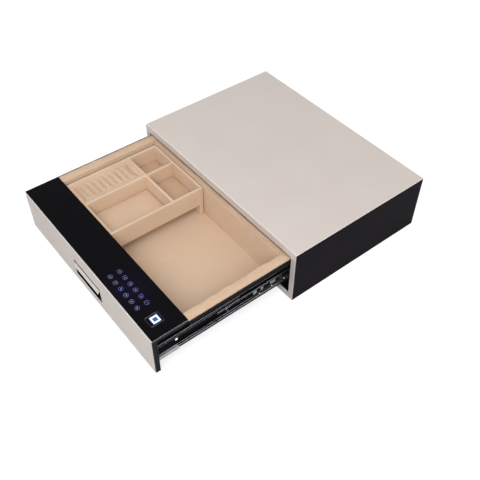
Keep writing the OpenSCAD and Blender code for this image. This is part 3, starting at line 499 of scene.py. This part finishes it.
# Each look by its plain name, without the number that it gets where the frame has a material of that name
MATERIALS = {
    material.name.partition(".")[0]: material
    for material in (
        # champagne_frame, champagne_face and champagne_pull are darker copies of the champagne coat, painted
        # shade on faces that look forward; all four carry painted white highlights along edges.
        champagne("champagne_steel", CHAMPAGNE, 0.0018, 0.8),
        champagne("champagne_frame", srgb(185, 176, 171), 0.0018, 0.8, extra=painted_rail_light_and_shadow),
        champagne("champagne_face", srgb(193, 184, 179), 0.0036, 1.0, extra=dark_ends),
        champagne("champagne_pull", srgb(204, 195, 190), 0.0014, 0.9, downward, painted_shelf_shade),
        paint("black_steel", srgb(19, 16, 21), WORN_BLACK, 0.5, fleck=0.02, specular=0.03),
        # The drawer's black steel with painted grey highlights along its lengthwise edges and a painted
        # highlight on the left lip.
        paint(
            "drawer_steel", NEAR_BLACK, WORN_BLACK, 0.5, fleck=0.02, specular=0.03,
            edge=(srgb(96, 96, 102), 0.0012, 0.6, 1.0, lengthwise), extra=painted_lip_highlight,
        ),
        # Painted white highlights along the slides' lengthwise edges, faded as painted shade inside the
        # case, and a painted glow.
        paint(
            "slide_steel", srgb(10, 9, 12), srgb(34, 34, 38), 0.38, fleck=0.01, specular=0.05,
            edge=(srgb(222, 222, 230), 0.0012, 0.8, 1.0, in_the_open), orange_peel=0.05, glow=0.25,
        ),
        # The screws give off a little light, a painted glow that keeps them bright in the slides' shade.
        paint("screw_white", srgb(250, 250, 250), srgb(255, 255, 255), 0.32, fleck=0.05, glow=0.35),
        plated("zinc", srgb(214, 216, 222), srgb(140, 144, 152), 0.46, DRAWN, metal=0.6),
        # Painted white highlights along the clips' edges.
        plated(
            "clip_zinc", srgb(176, 178, 184), srgb(70, 72, 78), 0.4, DRAWN, spangle=0.5, metal=0.3,
            edge=(0.0022, 1.0),
        ),
        # Painted white highlights along the inner cages' edges, and painted shade above and below their
        # middle and inside the case.
        plated(
            "cage_steel", srgb(190, 192, 198), srgb(90, 92, 98), 0.4, DRAWN, metal=0.5,
            edge=(0.0012, 0.6), extra=shaded_cage,
        ),
        # The outer cages' zinc painted dark, as painted shade deep in the slides.
        plated("dark_cage", srgb(34, 34, 38), srgb(20, 20, 23), 0.5, DRAWN, metal=0.4),
        plated("ball_steel", srgb(224, 226, 232), srgb(140, 142, 150), 0.14, spangle=0.05),
        plated("lock_alloy", srgb(168, 170, 174), srgb(104, 106, 112), 0.46, brush_scale=700.0),
        plastic("black_plastic", srgb(18, 17, 20), srgb(120, 118, 126), 0.55),
        # A darker copy of black_plastic for the pull's recess, as painted shade.
        plastic("recess_plastic", srgb(12, 11, 14), srgb(40, 38, 44), 0.6, edge=0.1),
        # The suede looks are copies of one suede, each set lighter or darker for the pieces it covers, as
        # painted light and shade.
        suede("suede", srgb(219, 193, 168), srgb(202, 174, 147), srgb(232, 210, 188)),
        suede("suede_rim", srgb(209, 181, 155), srgb(190, 161, 134), srgb(222, 198, 174)),
        suede("suede_dark", srgb(200, 172, 147), srgb(182, 153, 127), srgb(214, 190, 166)),
        # The rear pads painted darker, as painted shade.
        suede(
            "suede_pads", srgb(210, 184, 159), srgb(194, 167, 142), srgb(224, 200, 176),
            tint=(1, -0.290, -0.280, srgb(193, 163, 137)),
        ),
        # The drawer's floor painted lighter, and darker towards the right, as painted light and shade.
        suede(
            "suede_floor", srgb(226, 200, 175), srgb(210, 184, 157), srgb(238, 217, 196),
            tint=(0, -0.16, 0.30, srgb(192, 168, 145)),
        ),
        black_glass(),
        lit("key_glow", (0.15, 0.145, 0.20, 1.0), (0.06, 0.055, 0.30, 1.0), 0.07, 0.035),
        lit("legend_glow", (0.50, 0.46, 0.88, 1.0), (0.20, 0.14, 1.0, 1.0), 0.45, 0.25),
        lens(),
        window_glass(),
        circuit(),
        wrapped_cell(),
    )
}

SLOT_OF = {s["node"]: s["material_slot"] for s in frame["record"]["subparts"]}
LOOK_OF = {
    "face_plate": "champagne_face", "front_frame": "champagne_frame", "drawer_box": "drawer_steel",
    "pull_lip": "champagne_pull", "pull_cup": "recess_plastic", "rail_clips": "clip_zinc",
    "inner_retainer_left": "cage_steel", "inner_retainer_right": "cage_steel",
    "outer_retainer_left": "dark_cage", "outer_retainer_right": "dark_cage",
}


def dress(obj, look):
    obj.data.materials.clear()
    obj.data.materials.append(MATERIALS[look])


# Finish of the CAD nodes

SMOOTH_BELOW, FLAT_BELOW, BEVEL_ABOVE = (math.radians(a) for a in (38, 0.5, 34))


def smooth_group():
    """Shades faces smooth where their edges are shallow."""
    g = bpy.data.node_groups.new("shade_by_angle", "GeometryNodeTree")
    g.interface.new_socket("Geometry", in_out="INPUT", socket_type="NodeSocketGeometry")
    g.interface.new_socket("Geometry", in_out="OUTPUT", socket_type="NodeSocketGeometry")
    new = g.nodes.new
    enter, leave = new("NodeGroupInput"), new("NodeGroupOutput")
    faces, lines = new("GeometryNodeSetShadeSmooth"), new("GeometryNodeSetShadeSmooth")
    faces.domain, lines.domain = "FACE", "EDGE"
    faces.inputs["Shade Smooth"].default_value = True
    lines.inputs["Shade Smooth"].default_value = False
    angle = new("GeometryNodeInputMeshEdgeAngle")
    steep = new("FunctionNodeCompare")
    steep.data_type, steep.operation = "FLOAT", "GREATER_THAN"
    steep.inputs["B"].default_value = SMOOTH_BELOW
    for a, b in (
        (enter.outputs[0], faces.inputs["Geometry"]),
        (faces.outputs[0], lines.inputs["Geometry"]),
        (angle.outputs["Unsigned Angle"], steep.inputs["A"]),
        (steep.outputs[0], lines.inputs["Selection"]),
        (lines.outputs[0], leave.inputs[0]),
    ):
        g.links.new(a, b)
    return g


BY_ANGLE = smooth_group()


def soften(obj, width):
    """Rounds a CAD node's edges a little, so that they catch the light."""
    weld = obj.modifiers.new("weld", "WELD")
    weld.merge_threshold = 2e-6
    flat = obj.modifiers.new("flat", "DECIMATE")
    flat.decimate_type = "DISSOLVE"
    flat.angle_limit = FLAT_BELOW
    if width:
        bevel = obj.modifiers.new("edges", "BEVEL")
        bevel.width = width
        bevel.segments = 2
        bevel.limit_method = "ANGLE"
        bevel.angle_limit = BEVEL_ABOVE
        bevel.use_clamp_overlap = True
    shade = obj.modifiers.new("shade", "NODES")
    shade.node_group = BY_ANGLE
    weigh = obj.modifiers.new("weigh", "WEIGHTED_NORMAL")
    weigh.keep_sharp = True


SOFT_NODES = {
    "floor_lining", "front_lining", "back_lining", "left_lining", "right_lining",
    "rim_pad_left", "rim_pad_right", "rim_pad_back",
    "tray_frame", "tray_dividers", "tray_pads", "ring_cushion",
}
USUAL_EDGE = 0.0003
EDGE_WIDTH = {
    "top_panel": 0.0007, "front_frame": 0.0008, "face_plate": 0.0007, "case_shell": 0.0006,
    "control_glass": 0.00035, "face_backing": 0.0006, "pull_lip": 0.0005, "pull_cup": 0.0004,
    "lock_housing": 0.0012, "key_rings": 0.0, "sensor_frame": 0.00012, "case_rivets": 0.0006,
    "outer_balls_left": 0.0, "outer_balls_right": 0.0, "inner_balls_left": 0.0, "inner_balls_right": 0.0,
    "fingerprint_sensor": 0.0004, "lock_cable": 0.0, "keypad_housing": 0.0006, "battery_cover": 0.0005,
}
for name, obj in NODES.items():
    if name in SOFT_NODES:
        continue
    dress(obj, LOOK_OF.get(name, SLOT_OF[name]))
    soften(obj, EDGE_WIDTH.get(name, USUAL_EDGE))


# Mesh helpers and the linings

AXES = ((1, 0, 0), (0, 1, 0), (0, 0, 1))


def new_object(name, bm, slot_name, body, node_names=(), smooth=True, look=None):
    """A piece of the scene's own: its mesh and look, and the body, slot and CAD nodes that it stands for."""
    bmesh.ops.recalc_face_normals(bm, faces=bm.faces)
    mesh = bpy.data.meshes.new(name)
    bm.to_mesh(mesh)
    bm.free()
    mesh.shade_smooth() if smooth else mesh.shade_flat()
    obj = bpy.data.objects.new(name, mesh)
    bpy.context.scene.collection.objects.link(obj)
    dress(obj, look or slot_name)
    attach(obj, body)
    if node_names:
        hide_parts(*node_names)
    return obj


def steps(length, fine, coarse, ends):
    """Places along a length: fine at both ends and coarse between."""
    count = max(1, round(ends / fine))
    low = [ends * (i / count) ** 1.5 for i in range(count + 1)]
    middle = max(1, round((length - 2 * ends) / coarse))
    mid = [ends + (length - 2 * ends) * i / middle for i in range(1, middle)]
    return low + mid + [length - v for v in reversed(low)]


def slab(bm, origin, u, v, n, us, vs, front, keep=None):
    """A closed slab over a grid: heights of its front along n, a flat back, and only the cells kept."""
    origin, u, v, n = (Vector(k) for k in (origin, u, v, n))
    fronts, backs = {}, {}

    def vert(store, i, j, height):
        if (i, j) not in store:
            store[i, j] = bm.verts.new(origin + u * us[i] + v * vs[j] + n * height(us[i], vs[j]))
        return store[i, j]

    def back(_p, _q):
        return 0.0

    cells = {
        (i, j)
        for i in range(len(us) - 1)
        for j in range(len(vs) - 1)
        if keep is None or keep((us[i] + us[i + 1]) / 2, (vs[j] + vs[j + 1]) / 2)
    }
    for i, j in cells:
        ring = [(i, j), (i + 1, j), (i + 1, j + 1), (i, j + 1)]
        bm.faces.new([vert(fronts, *c, front) for c in ring])
        bm.faces.new([vert(backs, *c, back) for c in reversed(ring)])
        for (di, dj), a, b in (((0, -1), 0, 1), ((1, 0), 1, 2), ((0, 1), 2, 3), ((-1, 0), 3, 0)):
            if (i + di, j + dj) not in cells:
                p, q = ring[a], ring[b]
                bm.faces.new([fronts[q], fronts[p], backs[p], backs[q]])


def roll_off(distance, radius):
    """Height share of a rounded edge at a distance from it."""
    if distance >= radius:
        return 1.0
    k = 1 - max(distance, 0.0) / radius
    return math.sqrt(max(0.0, 1 - k * k))


def wobble(x, y, scale, seed):
    return noise.noise(Vector((x * scale, y * scale, seed)))


def lining(name, node, axis, inward, thick_wobble=0.0002, hole=None, look="suede"):
    """A suede-covered board on a wall or the floor, with soft rounded edges."""
    lo, hi = (Vector(p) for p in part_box(node))
    size = hi - lo
    a, b = [k for k in range(3) if k != axis]
    origin = lo.copy()
    if inward < 0:
        origin[axis] = hi[axis]
    length, width, thick = size[a], size[b], size[axis]
    cuts_u, cuts_v = steps(length, 0.0006, 0.008, 0.003), steps(width, 0.0006, 0.008, 0.003)
    if hole:
        (h0, h1), (g0, g1) = hole
        cuts_u = sorted(set(cuts_u) | {h0 - lo[a], h1 - lo[a]})
        cuts_v = sorted(set(cuts_v) | {g0 - lo[b], g1 - lo[b]})

    def front(p, q):
        edge = min(p, length - p, q, width - q)
        share = 0.35 + 0.65 * roll_off(edge, 0.0016)
        hollow = min(0.0, wobble(p, q, 28.0, axis + inward) * thick_wobble)
        return thick * share + hollow * roll_off(edge, 0.02)

    def keep(p, q):
        if not hole:
            return True
        return not (h0 < p + lo[a] < h1 and g0 < q + lo[b] < g1)

    bm = bmesh.new()
    slab(bm, origin, AXES[a], AXES[b], Vector(AXES[axis]) * inward, cuts_u, cuts_v, front, keep)
    new_object(name, bm, "suede", "drawer", [node], look=look)


lining("suede_floor", "floor_lining", axis=2, inward=1, thick_wobble=0.0, look="suede_floor")
lining("suede_left_wall", "left_lining", axis=0, inward=1)
lining("suede_right_wall", "right_lining", axis=0, inward=-1)
lining("suede_back_wall", "back_lining", axis=1, inward=-1)

# The front wall's lining leaves the battery cover free, with a margin round it
MARGIN = 0.0004
COVER_LO, COVER_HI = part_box("battery_cover")
COVER_HOLE = [(COVER_LO[k] - MARGIN, COVER_HI[k] + MARGIN) for k in (0, 2)]
lining("suede_front_wall", "front_lining", axis=1, inward=1, hole=COVER_HOLE)


# Padded rim

CLOTH_FRAMES, CLOTH_STIFFNESS = 16, 18.0


def crown(w, h, count, inner, outer):
    """Section of a stuffed rim over its foot: its inner and outer half are square at 0 and round at 1."""
    tuck = min(0.0014, w / 8)
    points = [(w - tuck, 0.0), (w / 2, 0.0), (tuck, 0.0)]
    for i in range(count + 1):
        a = math.pi * i / count
        c, s = math.cos(a), math.sin(a)
        shape = inner if c > 0 else outer
        foot = 0.4 - 0.25 * shape
        x = w / 2 * (1 - math.copysign(abs(c) ** (0.4 + 0.6 * shape), c))
        points.append((x, h * (foot + (1 - foot) * s ** (0.3 + 0.7 * shape))))
    return points


def tube(bm, section, ys, place):
    """A closed bolster: a cross-section repeated along a length, shrinking at its ends."""
    rings = []
    cx = sum(p[0] for p in section) / len(section)
    for y in ys:
        end = roll_off(min(y - ys[0], ys[-1] - y), 0.003)
        narrow, low = 0.86 + 0.14 * end, 0.8 + 0.2 * end
        rings.append([bm.verts.new(place(cx + (x - cx) * narrow, y, z * low)) for x, z in section])
    n = len(section)
    for a, b in zip(rings, rings[1:]):
        for i in range(n):
            bm.faces.new([a[i], a[(i + 1) % n], b[(i + 1) % n], b[i]])
    for ring, flip in ((rings[0], False), (rings[-1], True)):
        bm.faces.new(ring if flip else list(reversed(ring)))


def inflate(obj, pinned, pressure, cap):
    """Blows a cover up as cloth over its filling, with some points held and none moved beyond a cap."""
    mesh = obj.data
    rest = [v.co.copy() for v in mesh.vertices]
    group = obj.vertex_groups.new(name="held")
    for v in mesh.vertices:
        group.add([v.index], pinned(v.co), "REPLACE")
    cloth = obj.modifiers.new("cover", "CLOTH")
    s = cloth.settings
    s.quality = 6
    s.mass = 0.15
    s.tension_stiffness = s.compression_stiffness = CLOTH_STIFFNESS
    s.shear_stiffness = CLOTH_STIFFNESS / 2
    s.bending_stiffness = 0.4
    s.air_damping = 2.0
    s.use_pressure = True
    s.uniform_pressure_force = pressure
    s.vertex_group_mass = "held"
    s.effector_weights.gravity = 0.0
    s.shrink_min = -0.02
    cloth.point_cache.frame_start, cloth.point_cache.frame_end = 1, CLOTH_FRAMES
    scene = bpy.context.scene
    for f in range(1, CLOTH_FRAMES + 1):
        scene.frame_set(f)
    shaped = obj.evaluated_get(bpy.context.evaluated_depsgraph_get()).data
    moved = [v.co.copy() for v in shaped.vertices]
    obj.modifiers.remove(cloth)
    obj.vertex_groups.remove(group)
    scene.frame_set(1)
    for v, old, new in zip(mesh.vertices, rest, moved):
        step = new - old
        if step.length > cap:
            step *= cap / step.length
        v.co = old + step
    mesh.update()


def rim(name, node, along, outward, inner, outer, look="suede_rim"):
    """One padded rim over its CAD solid. along is 0 or 1, and outward the side that its outer edge faces."""
    lo, hi = (Vector(p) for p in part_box(node))
    width = (hi - lo)[1 - along]
    height = hi.z - lo.z
    start, length = lo[along], (hi - lo)[along]
    base = lo[1 - along] if outward > 0 else hi[1 - along]

    def place(x, y, z):
        across = base + outward * x
        p = [across, start + y] if along == 1 else [start + y, across]
        return Vector((*p, lo.z + z))

    bm = bmesh.new()
    tube(bm, crown(width, height, 24, inner, outer), steps(length, 0.001, 0.0042, 0.004), place)
    obj = new_object(name, bm, "suede", "drawer", [node], look=look)
    if SIM:
        inflate(obj, lambda co: 1.0 if co.z < lo.z + height * 0.42 else 0.0, pressure=3.0, cap=0.0009)
    fine = obj.modifiers.new("fine", "SUBSURF")
    fine.levels = fine.render_levels = 1


rim("rim_left", "rim_pad_left", along=1, outward=-1, inner=1.0, outer=0.5)
rim("rim_right", "rim_pad_right", along=1, outward=1, inner=0.25, outer=0.1)
# The back rim, in the frame's shade, takes the darker suede as painted shade.
rim("rim_back", "rim_pad_back", along=0, outward=1, inner=0.4, outer=0.6, look="suede_dark")


# Tray

TRAY_LO, TRAY_HI = (Vector(p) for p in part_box("tray_frame"))
DIV_LO, DIV_HI = (Vector(p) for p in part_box("tray_dividers"))
PAD_LO, PAD_HI = (Vector(p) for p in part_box("tray_pads"))
RING_LO, RING_HI = (Vector(p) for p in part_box("ring_cushion"))

# The tray's wall thickness and leg width, and the heights of its floor and its underside
WALL, LEG, DECK_Z, UNDER_Z = 0.006, 0.010, 0.072, 0.064
# Places of the long and the cross divider, and their thickness
LONG_X, CROSS_Y, DIV_T = -0.153, -0.2849, 0.0065
# Insets of the side walls and the floor board, and how far dividers go into the walls and the floor
SIDE_INSET, FLOOR_INSET, DIV_LET_IN, DIV_SUNK = 0.001, 0.002, 0.0008, 0.0005
# Unevenness of a wrapped board, and the gap round a loose pad
SHAKE, PAD_GAP = 0.00018, 0.0003


def board(bm, lo, hi, radius=0.0014, step=0.012, seed=0.0):
    """A suede-wrapped board: rounded edges and a slightly uneven cover."""
    part = bmesh.new()
    lo, hi = Vector(lo), Vector(hi)
    bmesh.ops.create_cube(part, size=1.0)
    for v in part.verts:
        v.co = Vector([lo[k] if v.co[k] < 0 else hi[k] for k in range(3)])
    bmesh.ops.bevel(part, geom=list(part.edges), offset=radius, segments=4, profile=0.5, affect="EDGES")
    for k in range(3):
        count = int((hi[k] - lo[k]) / step)
        for i in range(1, count):
            at = Vector(lo)
            at[k] += (hi[k] - lo[k]) * i / count
            whole = list(part.verts) + list(part.edges) + list(part.faces)
            bmesh.ops.bisect_plane(part, geom=whole, plane_co=at, plane_no=Vector(AXES[k]), dist=1e-7)
    part.normal_update()
    for v in part.verts:
        v.co -= v.normal * SHAKE * (0.5 + noise.noise(v.co * 42.0 + Vector((seed, 0, 0))))
    mesh = bpy.data.meshes.new("part")
    part.to_mesh(mesh)
    part.free()
    bm.from_mesh(mesh)
    bpy.data.meshes.remove(mesh)


def tray_body():
    """Front and back wall, two legs, the side walls between them, and the floor."""
    bm = bmesh.new()
    x0, x1, y0, y1, top = TRAY_LO.x, TRAY_HI.x, TRAY_LO.y, TRAY_HI.y, TRAY_HI.z
    board(bm, (x0, y0, UNDER_Z), (x1, y0 + WALL, top), seed=1)
    board(bm, (x0, y1 - WALL, UNDER_Z), (x1, y1, top), seed=2)
    board(bm, (x0, y0, TRAY_LO.z), (x1, y0 + LEG, DECK_Z), seed=8)
    board(bm, (x0, y1 - LEG, TRAY_LO.z), (x1, y1, DECK_Z), seed=9)
    board(bm, (x0, y0 + SIDE_INSET, UNDER_Z), (x0 + WALL, y1 - SIDE_INSET, top), seed=3)
    board(bm, (x1 - WALL, y0 + SIDE_INSET, UNDER_Z), (x1, y1 - SIDE_INSET, top), seed=4)
    low = (x0 + FLOOR_INSET, y0 + FLOOR_INSET, UNDER_Z)
    board(bm, low, (x1 - FLOOR_INSET, y1 - FLOOR_INSET, DECK_Z), step=0.03, seed=5)
    new_object("tray_body", bm, "suede", "tray", ["tray_frame"])


def tray_walls():
    """The long and the cross divider, let into the walls and the floor."""
    bm = bmesh.new()
    low, high = DIV_LO.z - DIV_SUNK, DIV_HI.z
    front, back = TRAY_LO.y + WALL - DIV_LET_IN, TRAY_HI.y - WALL + DIV_LET_IN
    left, right = TRAY_LO.x + WALL - DIV_LET_IN, TRAY_HI.x - WALL + DIV_LET_IN
    board(bm, (LONG_X, front, low), (LONG_X + DIV_T, back, high), 0.0022, seed=6)
    board(bm, (left, CROSS_Y, low), (right, CROSS_Y + DIV_T, high), 0.0022, seed=7)
    new_object("tray_walls", bm, "suede", "tray", ["tray_dividers"])


def pad_top(length, width, thick, radius, puff):
    """Height of a loose pad: rounded at its edges, puffed at its middle and slightly uneven."""

    def top(p, q):
        edge = min(p, length - p, q, width - q)
        middle = math.sin(math.pi * p / length) * math.sin(math.pi * q / width)
        uneven = wobble(p, q, 55.0, length * 99) * 0.00015
        return thick * (0.3 + 0.7 * roll_off(edge, radius)) + puff * (middle - 1) + uneven

    return top


def tray_pads():
    """Three loose pads on the tray's floor."""
    bm = bmesh.new()
    inner = [
        ((TRAY_LO.x + WALL, CROSS_Y + DIV_T), (LONG_X, TRAY_HI.y - WALL)),
        ((LONG_X + DIV_T, CROSS_Y + DIV_T), (TRAY_HI.x - WALL, TRAY_HI.y - WALL)),
        ((LONG_X + DIV_T, TRAY_LO.y + WALL), (TRAY_HI.x - WALL, CROSS_Y)),
    ]
    thick = PAD_HI.z - PAD_LO.z
    for (x0, y0), (x1, y1) in inner:
        length, width = x1 - x0 - 2 * PAD_GAP, y1 - y0 - 2 * PAD_GAP
        us, vs = steps(length, 0.0007, 0.005, 0.004), steps(width, 0.0007, 0.005, 0.004)
        top = pad_top(length, width, thick, radius=0.0032, puff=0.0006)
        slab(bm, (x0 + PAD_GAP, y0 + PAD_GAP, DECK_Z), *AXES, us, vs, top)
    obj = new_object("tray_cushions", bm, "suede_dark", "tray", ["tray_pads"], look="suede_pads")
    if SIM:
        inflate(obj, lambda co: 1.0 if co.z < DECK_Z + thick * 0.45 else 0.0, pressure=2.5, cap=0.0007)


tray_body()
tray_walls()
tray_pads()

# The ring cushion's thickness, its ribs along its width, and the span across which they run
RING_T = RING_HI.z - DECK_Z
RIBS, FIRST_RIB, RIB_PITCH = 9, 0.0125, 0.0148
RIB_LEFT, RIB_RIGHT, RIB_DEPTH = 0.017, 0.053, 0.0084
# How far the crease before each rolled end bows, and its half width
CREASE_BOW, CREASE_HALF = 0.0040, 0.0016


def smooth(value, low, high):
    """0 at low, 1 at high, easing in and out."""
    k = min(1.0, max(0.0, (value - low) / (high - low)))
    return k * k * (3 - 2 * k)


def within(value, low, high, outside, inside):
    """1 between two places and 0 beyond, easing from a reach outside to one inside of each."""
    return smooth(value, low - outside, low + inside) * (1 - smooth(value, high - inside, high + outside))


def ring_top(length, width):
    """Height of the ring cushion: ribs between plain borders, and a curved crease before each rolled end."""
    last = FIRST_RIB + (RIBS - 1) * RIB_PITCH
    creases = ((0.0045, 1.0, 0.0055), (width - 0.0105, -1.0, 0.0075))

    def top(p, q):
        edge = min(p, length - p, q, width - q)
        height = RING_T - 0.0007 * (1 - roll_off(edge, 0.0016))
        across = within(p, RIB_LEFT, RIB_RIGHT, 0.008, 0.004)
        rows = within(q, FIRST_RIB, last, 0.010, -0.004)
        rib = abs(math.cos(math.pi * (q - FIRST_RIB) / RIB_PITCH)) ** 0.55
        height -= RIB_DEPTH * (1 - rib) * across * rows
        height -= 0.0012 * smooth(edge, 0.001, 0.007) * (1 - across * rows)
        bow = (p / length - 0.5) * 2
        for centre, way, deep in creases:
            far = abs(q - centre - way * CREASE_BOW * (1 - bow * bow))
            groove = math.exp(-((far / CREASE_HALF) ** 2))
            height -= deep * groove * smooth(min(p, length - p), 0.002, 0.012)
        return height + wobble(p, q, 60.0, 3.0) * 0.0002

    return top


def ring_cushion():
    """The ribbed cushion for rings, its cover held in the valleys."""
    length, width = RING_HI.x - RING_LO.x, RING_HI.y - RING_LO.y
    top = ring_top(length, width)
    us = steps(length, 0.0008, 0.0022, 0.004)
    vs = steps(width, 0.0008, 0.0011, 0.003)
    bm = bmesh.new()
    slab(bm, (RING_LO.x, RING_LO.y, DECK_Z), *AXES, us, vs, top)
    obj = new_object("ring_rolls", bm, "suede", "tray", ["ring_cushion"], look="suede_rim")

    def pinned(co):
        if co.z < RING_HI.z - 0.0115:
            return 1.0
        valley = top(co.x - RING_LO.x, co.y - RING_LO.y)
        return 1.0 if valley < RING_T - 0.0028 else 0.0

    if SIM:
        inflate(obj, pinned, pressure=3.0, cap=0.0007)


ring_cushion()


# Control strip

KEY_CHARS = ("67890#", "12345*")
PRINT_SIZE, PRINT_HALF = 0.0054, 0.00004


def glyph(char):
    """One plain character as a thin mesh."""
    curve = bpy.data.curves.new("char", "FONT")
    curve.body = char
    curve.size = PRINT_SIZE
    curve.align_x = "CENTER"
    curve.extrude = PRINT_HALF
    curve.resolution_u = 4
    holder = bpy.data.objects.new("char", curve)
    bpy.context.scene.collection.objects.link(holder)
    mesh = bpy.data.meshes.new_from_object(holder)
    bpy.data.objects.remove(holder)
    bpy.data.curves.remove(curve)
    return mesh


def key_legends():
    """The characters of the keys on the glass, each centred on its ring."""
    bm = bmesh.new()
    for chars, y in zip(KEY_CHARS, KEY_ROWS):
        for i, char in enumerate(chars):
            mesh = glyph(char)
            x = KEY_X + i * KEY_PITCH
            xs = [v.co.x for v in mesh.vertices]
            ys = [v.co.y for v in mesh.vertices]
            shift = (x - (min(xs) + max(xs)) / 2, y - (min(ys) + max(ys)) / 2, GLASS_Z + PRINT_HALF)
            mesh.transform(Matrix.Translation(shift))
            bm.from_mesh(mesh)
            bpy.data.meshes.remove(mesh)
    new_object("key_legends", bm, "key_glow", "drawer", smooth=False, look="legend_glow")


def sensor_window():
    """The dark centre of the sensor: a small rounded block, just proud of the lit pad."""
    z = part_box("fingerprint_sensor")[1][2]
    side, low, thick = 0.0080, z - 0.0002, 0.00045
    bm = bmesh.new()
    bmesh.ops.create_cube(bm, size=1.0)
    for v in bm.verts:
        x, y, up = v.co
        v.co = Vector((SENSOR[0] + x * side, SENSOR[1] + y * side, low + (up + 0.5) * thick))
    upright = [e for e in bm.edges if abs(e.verts[0].co.z - e.verts[1].co.z) > 1e-5]
    bmesh.ops.bevel(bm, geom=upright, offset=0.0010, segments=5, profile=0.5, affect="EDGES")
    on_top = [e for e in bm.edges if all(v.co.z > z for v in e.verts)]
    rim_edges = [e for e in on_top if len(e.link_faces) == 2 and e.calc_face_angle() > 1]
    bmesh.ops.bevel(bm, geom=rim_edges, offset=0.00012, segments=2, profile=0.5, affect="EDGES")
    new_object("sensor_window", bm, "glass_black", "drawer", smooth=False, look="sensor_window")


key_legends()
sensor_window()


# Studio

FLOOR_SPAN, FLOOR_DROP, FLOOR_LIFT = 9.0, 0.0003, 0.72
AMBIENT = 0.54
# Heights between which the surroundings that gloss reflects fall off, and their strength below and above
FALL_OFF = {"From Min": 0.35, "From Max": 0.66, "To Min": 0.95, "To Max": 0.14}
AIM = Vector((0.0, -0.17, 0.08))
CAMERA_PLACE = (0.9195, -0.854, 1.1553)
CAMERA_SIGHT = Vector((-0.53577635, 0.42998147, -0.72667712))
CAMERA_ROLL, CAMERA_LENS = math.radians(0.522), 50.26


def pale_floor():
    """A wide pale floor that keeps the shadow, lifted to near white for the camera alone."""
    mesh = bpy.data.meshes.new("floor")
    corners = [(x * FLOOR_SPAN, y * FLOOR_SPAN, 0) for x, y in ((-1, -1), (1, -1), (1, 1), (-1, 1))]
    mesh.from_pydata(corners, [], [(0, 1, 2, 3)])
    floor = bpy.data.objects.new("floor", mesh)
    bpy.context.scene.collection.objects.link(floor)
    floor.location.z = -FLOOR_DROP
    t = Tree("floor")
    seen = t.add("LightPath").outputs["Is Camera Ray"]
    pale = t.mix(t.noise(60.0, 2.0), srgb(226, 226, 226), srgb(232, 232, 232))
    diffuse = t.add("BsdfDiffuse", {"Color": t.mix(seen, pale, (0.4, 0.4, 0.4, 1.0))})
    lift = t.add("Emission", {"Color": (1, 1, 1, 1), "Strength": t.math("MULTIPLY", seen, FLOOR_LIFT)})
    both = t.add("AddShader", {0: diffuse.outputs[0], 1: lift.outputs[0]})
    t.tree.links.new(both.outputs[0], t.out.inputs[0])
    mesh.materials.append(t.mat)


def studio_world():
    """White to the camera and in glass, falling off upward in gloss, and soft even light on the object."""
    world = bpy.data.worlds.new("studio")
    bpy.context.scene.world = world
    world.use_nodes = True
    world.node_tree.nodes.clear()
    new, link = world.node_tree.nodes.new, world.node_tree.links.new
    path, place = new("ShaderNodeLightPath"), new("ShaderNodeNewGeometry")
    split, fall = new("ShaderNodeSeparateXYZ"), new("ShaderNodeMapRange")
    link(place.outputs["Position"], split.inputs[0])
    for socket, value in FALL_OFF.items():
        fall.inputs[socket].default_value = value
    link(split.outputs[2], fall.inputs["Value"])

    def mix(ray, a, b):
        node = new("ShaderNodeMix")
        for socket, value in (("Factor", path.outputs[ray]), ("A", a), ("B", b)):
            if isinstance(value, bpy.types.NodeSocket):
                link(value, node.inputs[socket])
            else:
                node.inputs[socket].default_value = value
        return node.outputs[0]

    strength = mix("Is Glossy Ray", AMBIENT, fall.outputs[0])
    strength = mix("Is Transmission Ray", strength, 0.9)
    strength = mix("Is Camera Ray", strength, 1.0)
    background, out = new("ShaderNodeBackground"), new("ShaderNodeOutputWorld")
    background.inputs["Color"].default_value = (1, 1, 1, 1)
    link(strength, background.inputs["Strength"])
    link(background.outputs[0], out.inputs[0])


def lamp(name, place, size, power, tint=(1, 1, 1)):
    light = bpy.data.lights.new(name, "AREA")
    light.shape = "DISK"
    light.size = size
    light.energy = power
    light.color = tint
    obj = bpy.data.objects.new(name, light)
    bpy.context.scene.collection.objects.link(obj)
    obj.location = place
    obj.rotation_euler = (AIM - Vector(place)).to_track_quat("-Z", "Y").to_euler()


def camera():
    """The photograph's viewpoint, with its slight roll."""
    data = bpy.data.cameras.new("camera")
    data.sensor_width = 36.0
    data.lens = CAMERA_LENS
    data.clip_start = 0.05
    obj = bpy.data.objects.new("camera", data)
    bpy.context.scene.collection.objects.link(obj)
    obj.location = CAMERA_PLACE
    obj.rotation_mode = "QUATERNION"
    obj.rotation_quaternion = CAMERA_SIGHT.to_track_quat("-Z", "Y") @ Quaternion(AXES[2], CAMERA_ROLL)
    bpy.context.scene.camera = obj


for old in [o for o in bpy.data.objects if o.name in ("Cube", "Light", "Camera")]:
    bpy.data.objects.remove(old)
pale_floor()
studio_world()
lamp("key", (1.35, -1.45, 2.1), 1.8, 50.0, (1.0, 0.99, 0.975))
lamp("fill", (-1.2, -1.2, 1.7), 1.5, 2.5, (0.98, 0.985, 1.0))
lamp("top", (0.1, 0.5, 2.4), 1.8, 3.0)
camera()
bpy.context.scene.view_settings.view_transform = "Standard"
